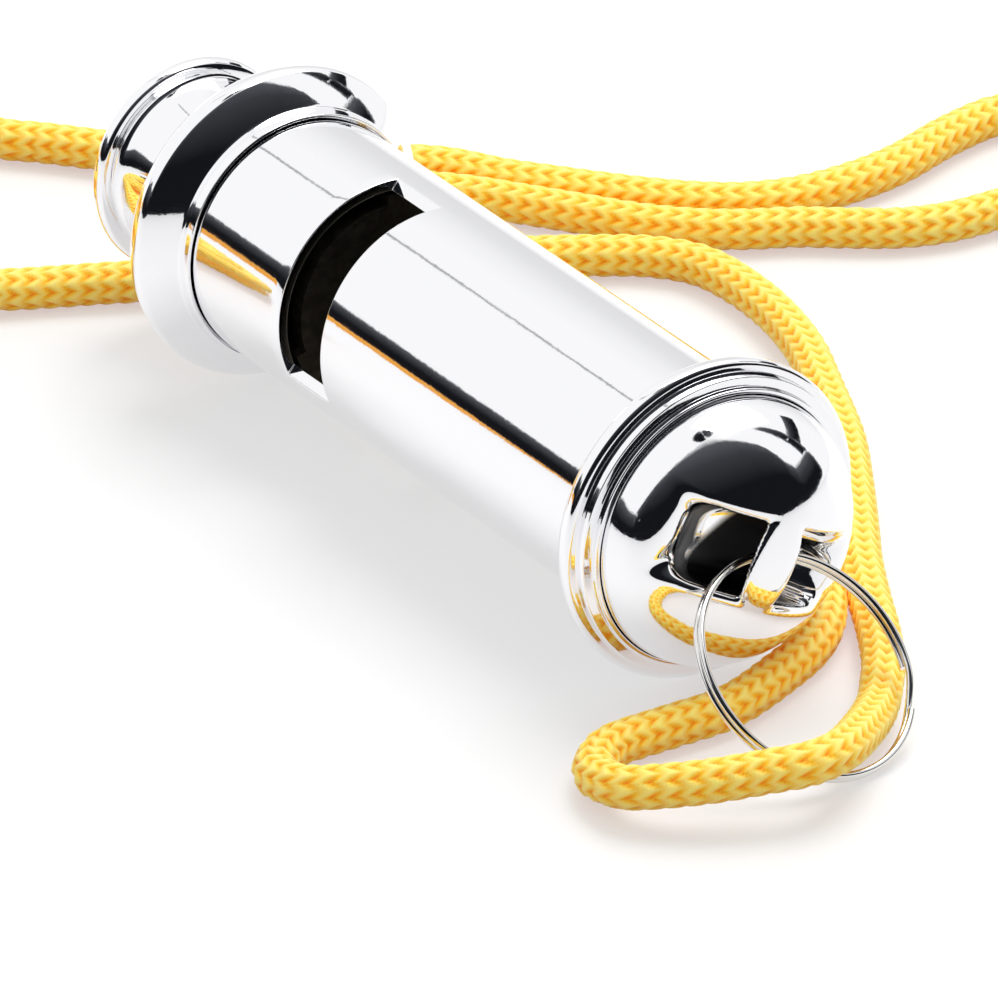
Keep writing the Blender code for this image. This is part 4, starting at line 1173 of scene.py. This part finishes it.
# %% Dark cards
CARD_DISTANCE = 1.4
CARD_ROWS = [(-0.10, 1.0), (0.0, 0.0), (0.35, 0.0), (0.7, 0.25), (0.93, 0.6), (1.04, 1.0)]
CARD_DARK = "#15161A"
CARD_MIDDLE = "#55575C"
WARM_COLOUR = "#F0A848"


def shining(name):
    """A material that only shines, for what is seen out of focus in a mirror."""
    material = bpy.data.materials.new(name)
    material.use_nodes = True
    tree = material.node_tree
    tree.nodes.clear()
    shine = add_node(tree, "ShaderNodeEmission")
    add_node(tree, "ShaderNodeOutputMaterial", {"Surface": shine.outputs["Emission"]})
    return material, tree, shine


def only_in_mirrors(obj):
    obj.visible_camera = obj.visible_diffuse = obj.visible_shadow = obj.visible_transmission = False


card_material, tree, shine = shining("card, out of focus")
fade = add_node(tree, "ShaderNodeAttribute", attribute_name="fade")
card_tint = add_node(tree, "ShaderNodeValToRGB", {"Fac": fade.outputs["Fac"]})
card_tint.color_ramp.elements[0].color = linear(CARD_DARK)
card_tint.color_ramp.elements[1].color = linear("#FFFFFF")
card_tint.color_ramp.elements.new(0.6).color = linear(CARD_MIDDLE)
tree.links.new(card_tint.outputs["Color"], shine.inputs["Color"])


def dark_card(name, stations, palest=0.0, card_rows=CARD_ROWS):
    """A card through stations of (azimuth, low, high) in degrees as seen from the middle of the barrel."""
    points, fades = [], []
    for number, (azimuth, low, high) in enumerate(stations):
        at_end = number in (0, len(stations) - 1)
        for share, fade in card_rows:
            turn, lift = math.radians(azimuth), math.radians(low + (high - low) * share)
            points.append(barrel_middle + CARD_DISTANCE * Vector((
                math.cos(lift) * math.cos(turn), math.cos(lift) * math.sin(turn), math.sin(lift))))
            fades.append(1.0 if at_end else max(fade, palest))
    rows = len(card_rows)
    faces = [(s * rows + r, (s + 1) * rows + r, (s + 1) * rows + r + 1, s * rows + r + 1)
             for s in range(len(stations) - 1) for r in range(rows - 1)]
    card = new_object(name, points, faces, card_material)
    card.data.attributes.new("fade", "FLOAT", "POINT").data.foreach_set("value", fades)
    only_in_mirrors(card)


dark_card("horizon card", [
    (-153, 0, 7), (-149, 0, 8), (-139, 0, 9), (-130, 0, 14), (-120, 0, 17), (-100, 0, 16), (-86, 0, 16),
    (-80, 0, 16),
])
dark_card("dark room card", [
    (-92, 0, 16), (-87, 0, 24), (-82, 0, 38), (-75, 0, 54), (-65, 0, 66), (-52, 0, 73), (-35, 0, 78),
    (-10, 0, 80), (15, 0, 78), (32, 0, 71), (42, 0, 61), (50, 0, 46), (53, 0, 26), (57, 0, 18), (77, 3, 17),
    (80, 3, 15),
])
dark_card("upright bar card", [(70, 18, 55), (73, 18, 55), (77, 18, 52), (80, 18, 50)])
dark_card("level bar card", [(72, 22, 31), (78, 22, 31), (106, 22, 30), (112, 22, 30)])
dark_card("ceiling card", [(turn, 83, 97) for turn in range(-180, 1, 20)])
dark_card("tent seam card", [(178.7, 32, 54), (179.5, 32, 54), (180.5, 32, 54), (181.3, 32, 54)], palest=0.75)
dark_card("grey wall card", [(105, 0, 35), (125, 0, 40), (150, 0, 40), (168, 0, 35)], palest=0.9,
          card_rows=[(0, 1.0), (0.1, 0.9), (0.4, 0.92), (0.7, 0.97), (1, 1.0)])

warm_material, tree, shine = shining("warm sheet, out of focus")
shine.inputs["Color"].default_value = linear(WARM_COLOUR)
corners = []
for reach, azimuth in ((0.28, -149), (0.28, -136), (1.4, -136), (1.4, -149)):
    turn = math.radians(azimuth)
    corners.append(route_datum + Vector((reach * math.cos(turn), reach * math.sin(turn), 0.3 * MM)))
only_in_mirrors(new_object("warm sheet", corners, [(0, 1, 2, 3)], warm_material))

# %% [markdown]
# ## Key light
# The tent lights the whistle from all sides. One large softbox behind it and above adds what models the cord
# and lays a faint shadow towards the camera. The view transform is Standard, so that white stays white.

# %% Key light
KEY_PLACE = Vector((-0.10, 0.25, 0.60))
KEY_WIDTH = 0.45
KEY_WATTS = 2.9

lamp = bpy.data.lights.new("key softbox", "AREA")
lamp.size = KEY_WIDTH
lamp.energy = KEY_WATTS
softbox = bpy.data.objects.new("key softbox", lamp)
softbox.location = KEY_PLACE
softbox.rotation_euler = (barrel_middle - KEY_PLACE).to_track_quat("-Z", "Y").to_euler()
bpy.context.scene.collection.objects.link(softbox)
bpy.context.scene.view_settings.view_transform = "Standard"
print(f"softbox {(KEY_PLACE - barrel_middle).length:.2f} m from the barrel")
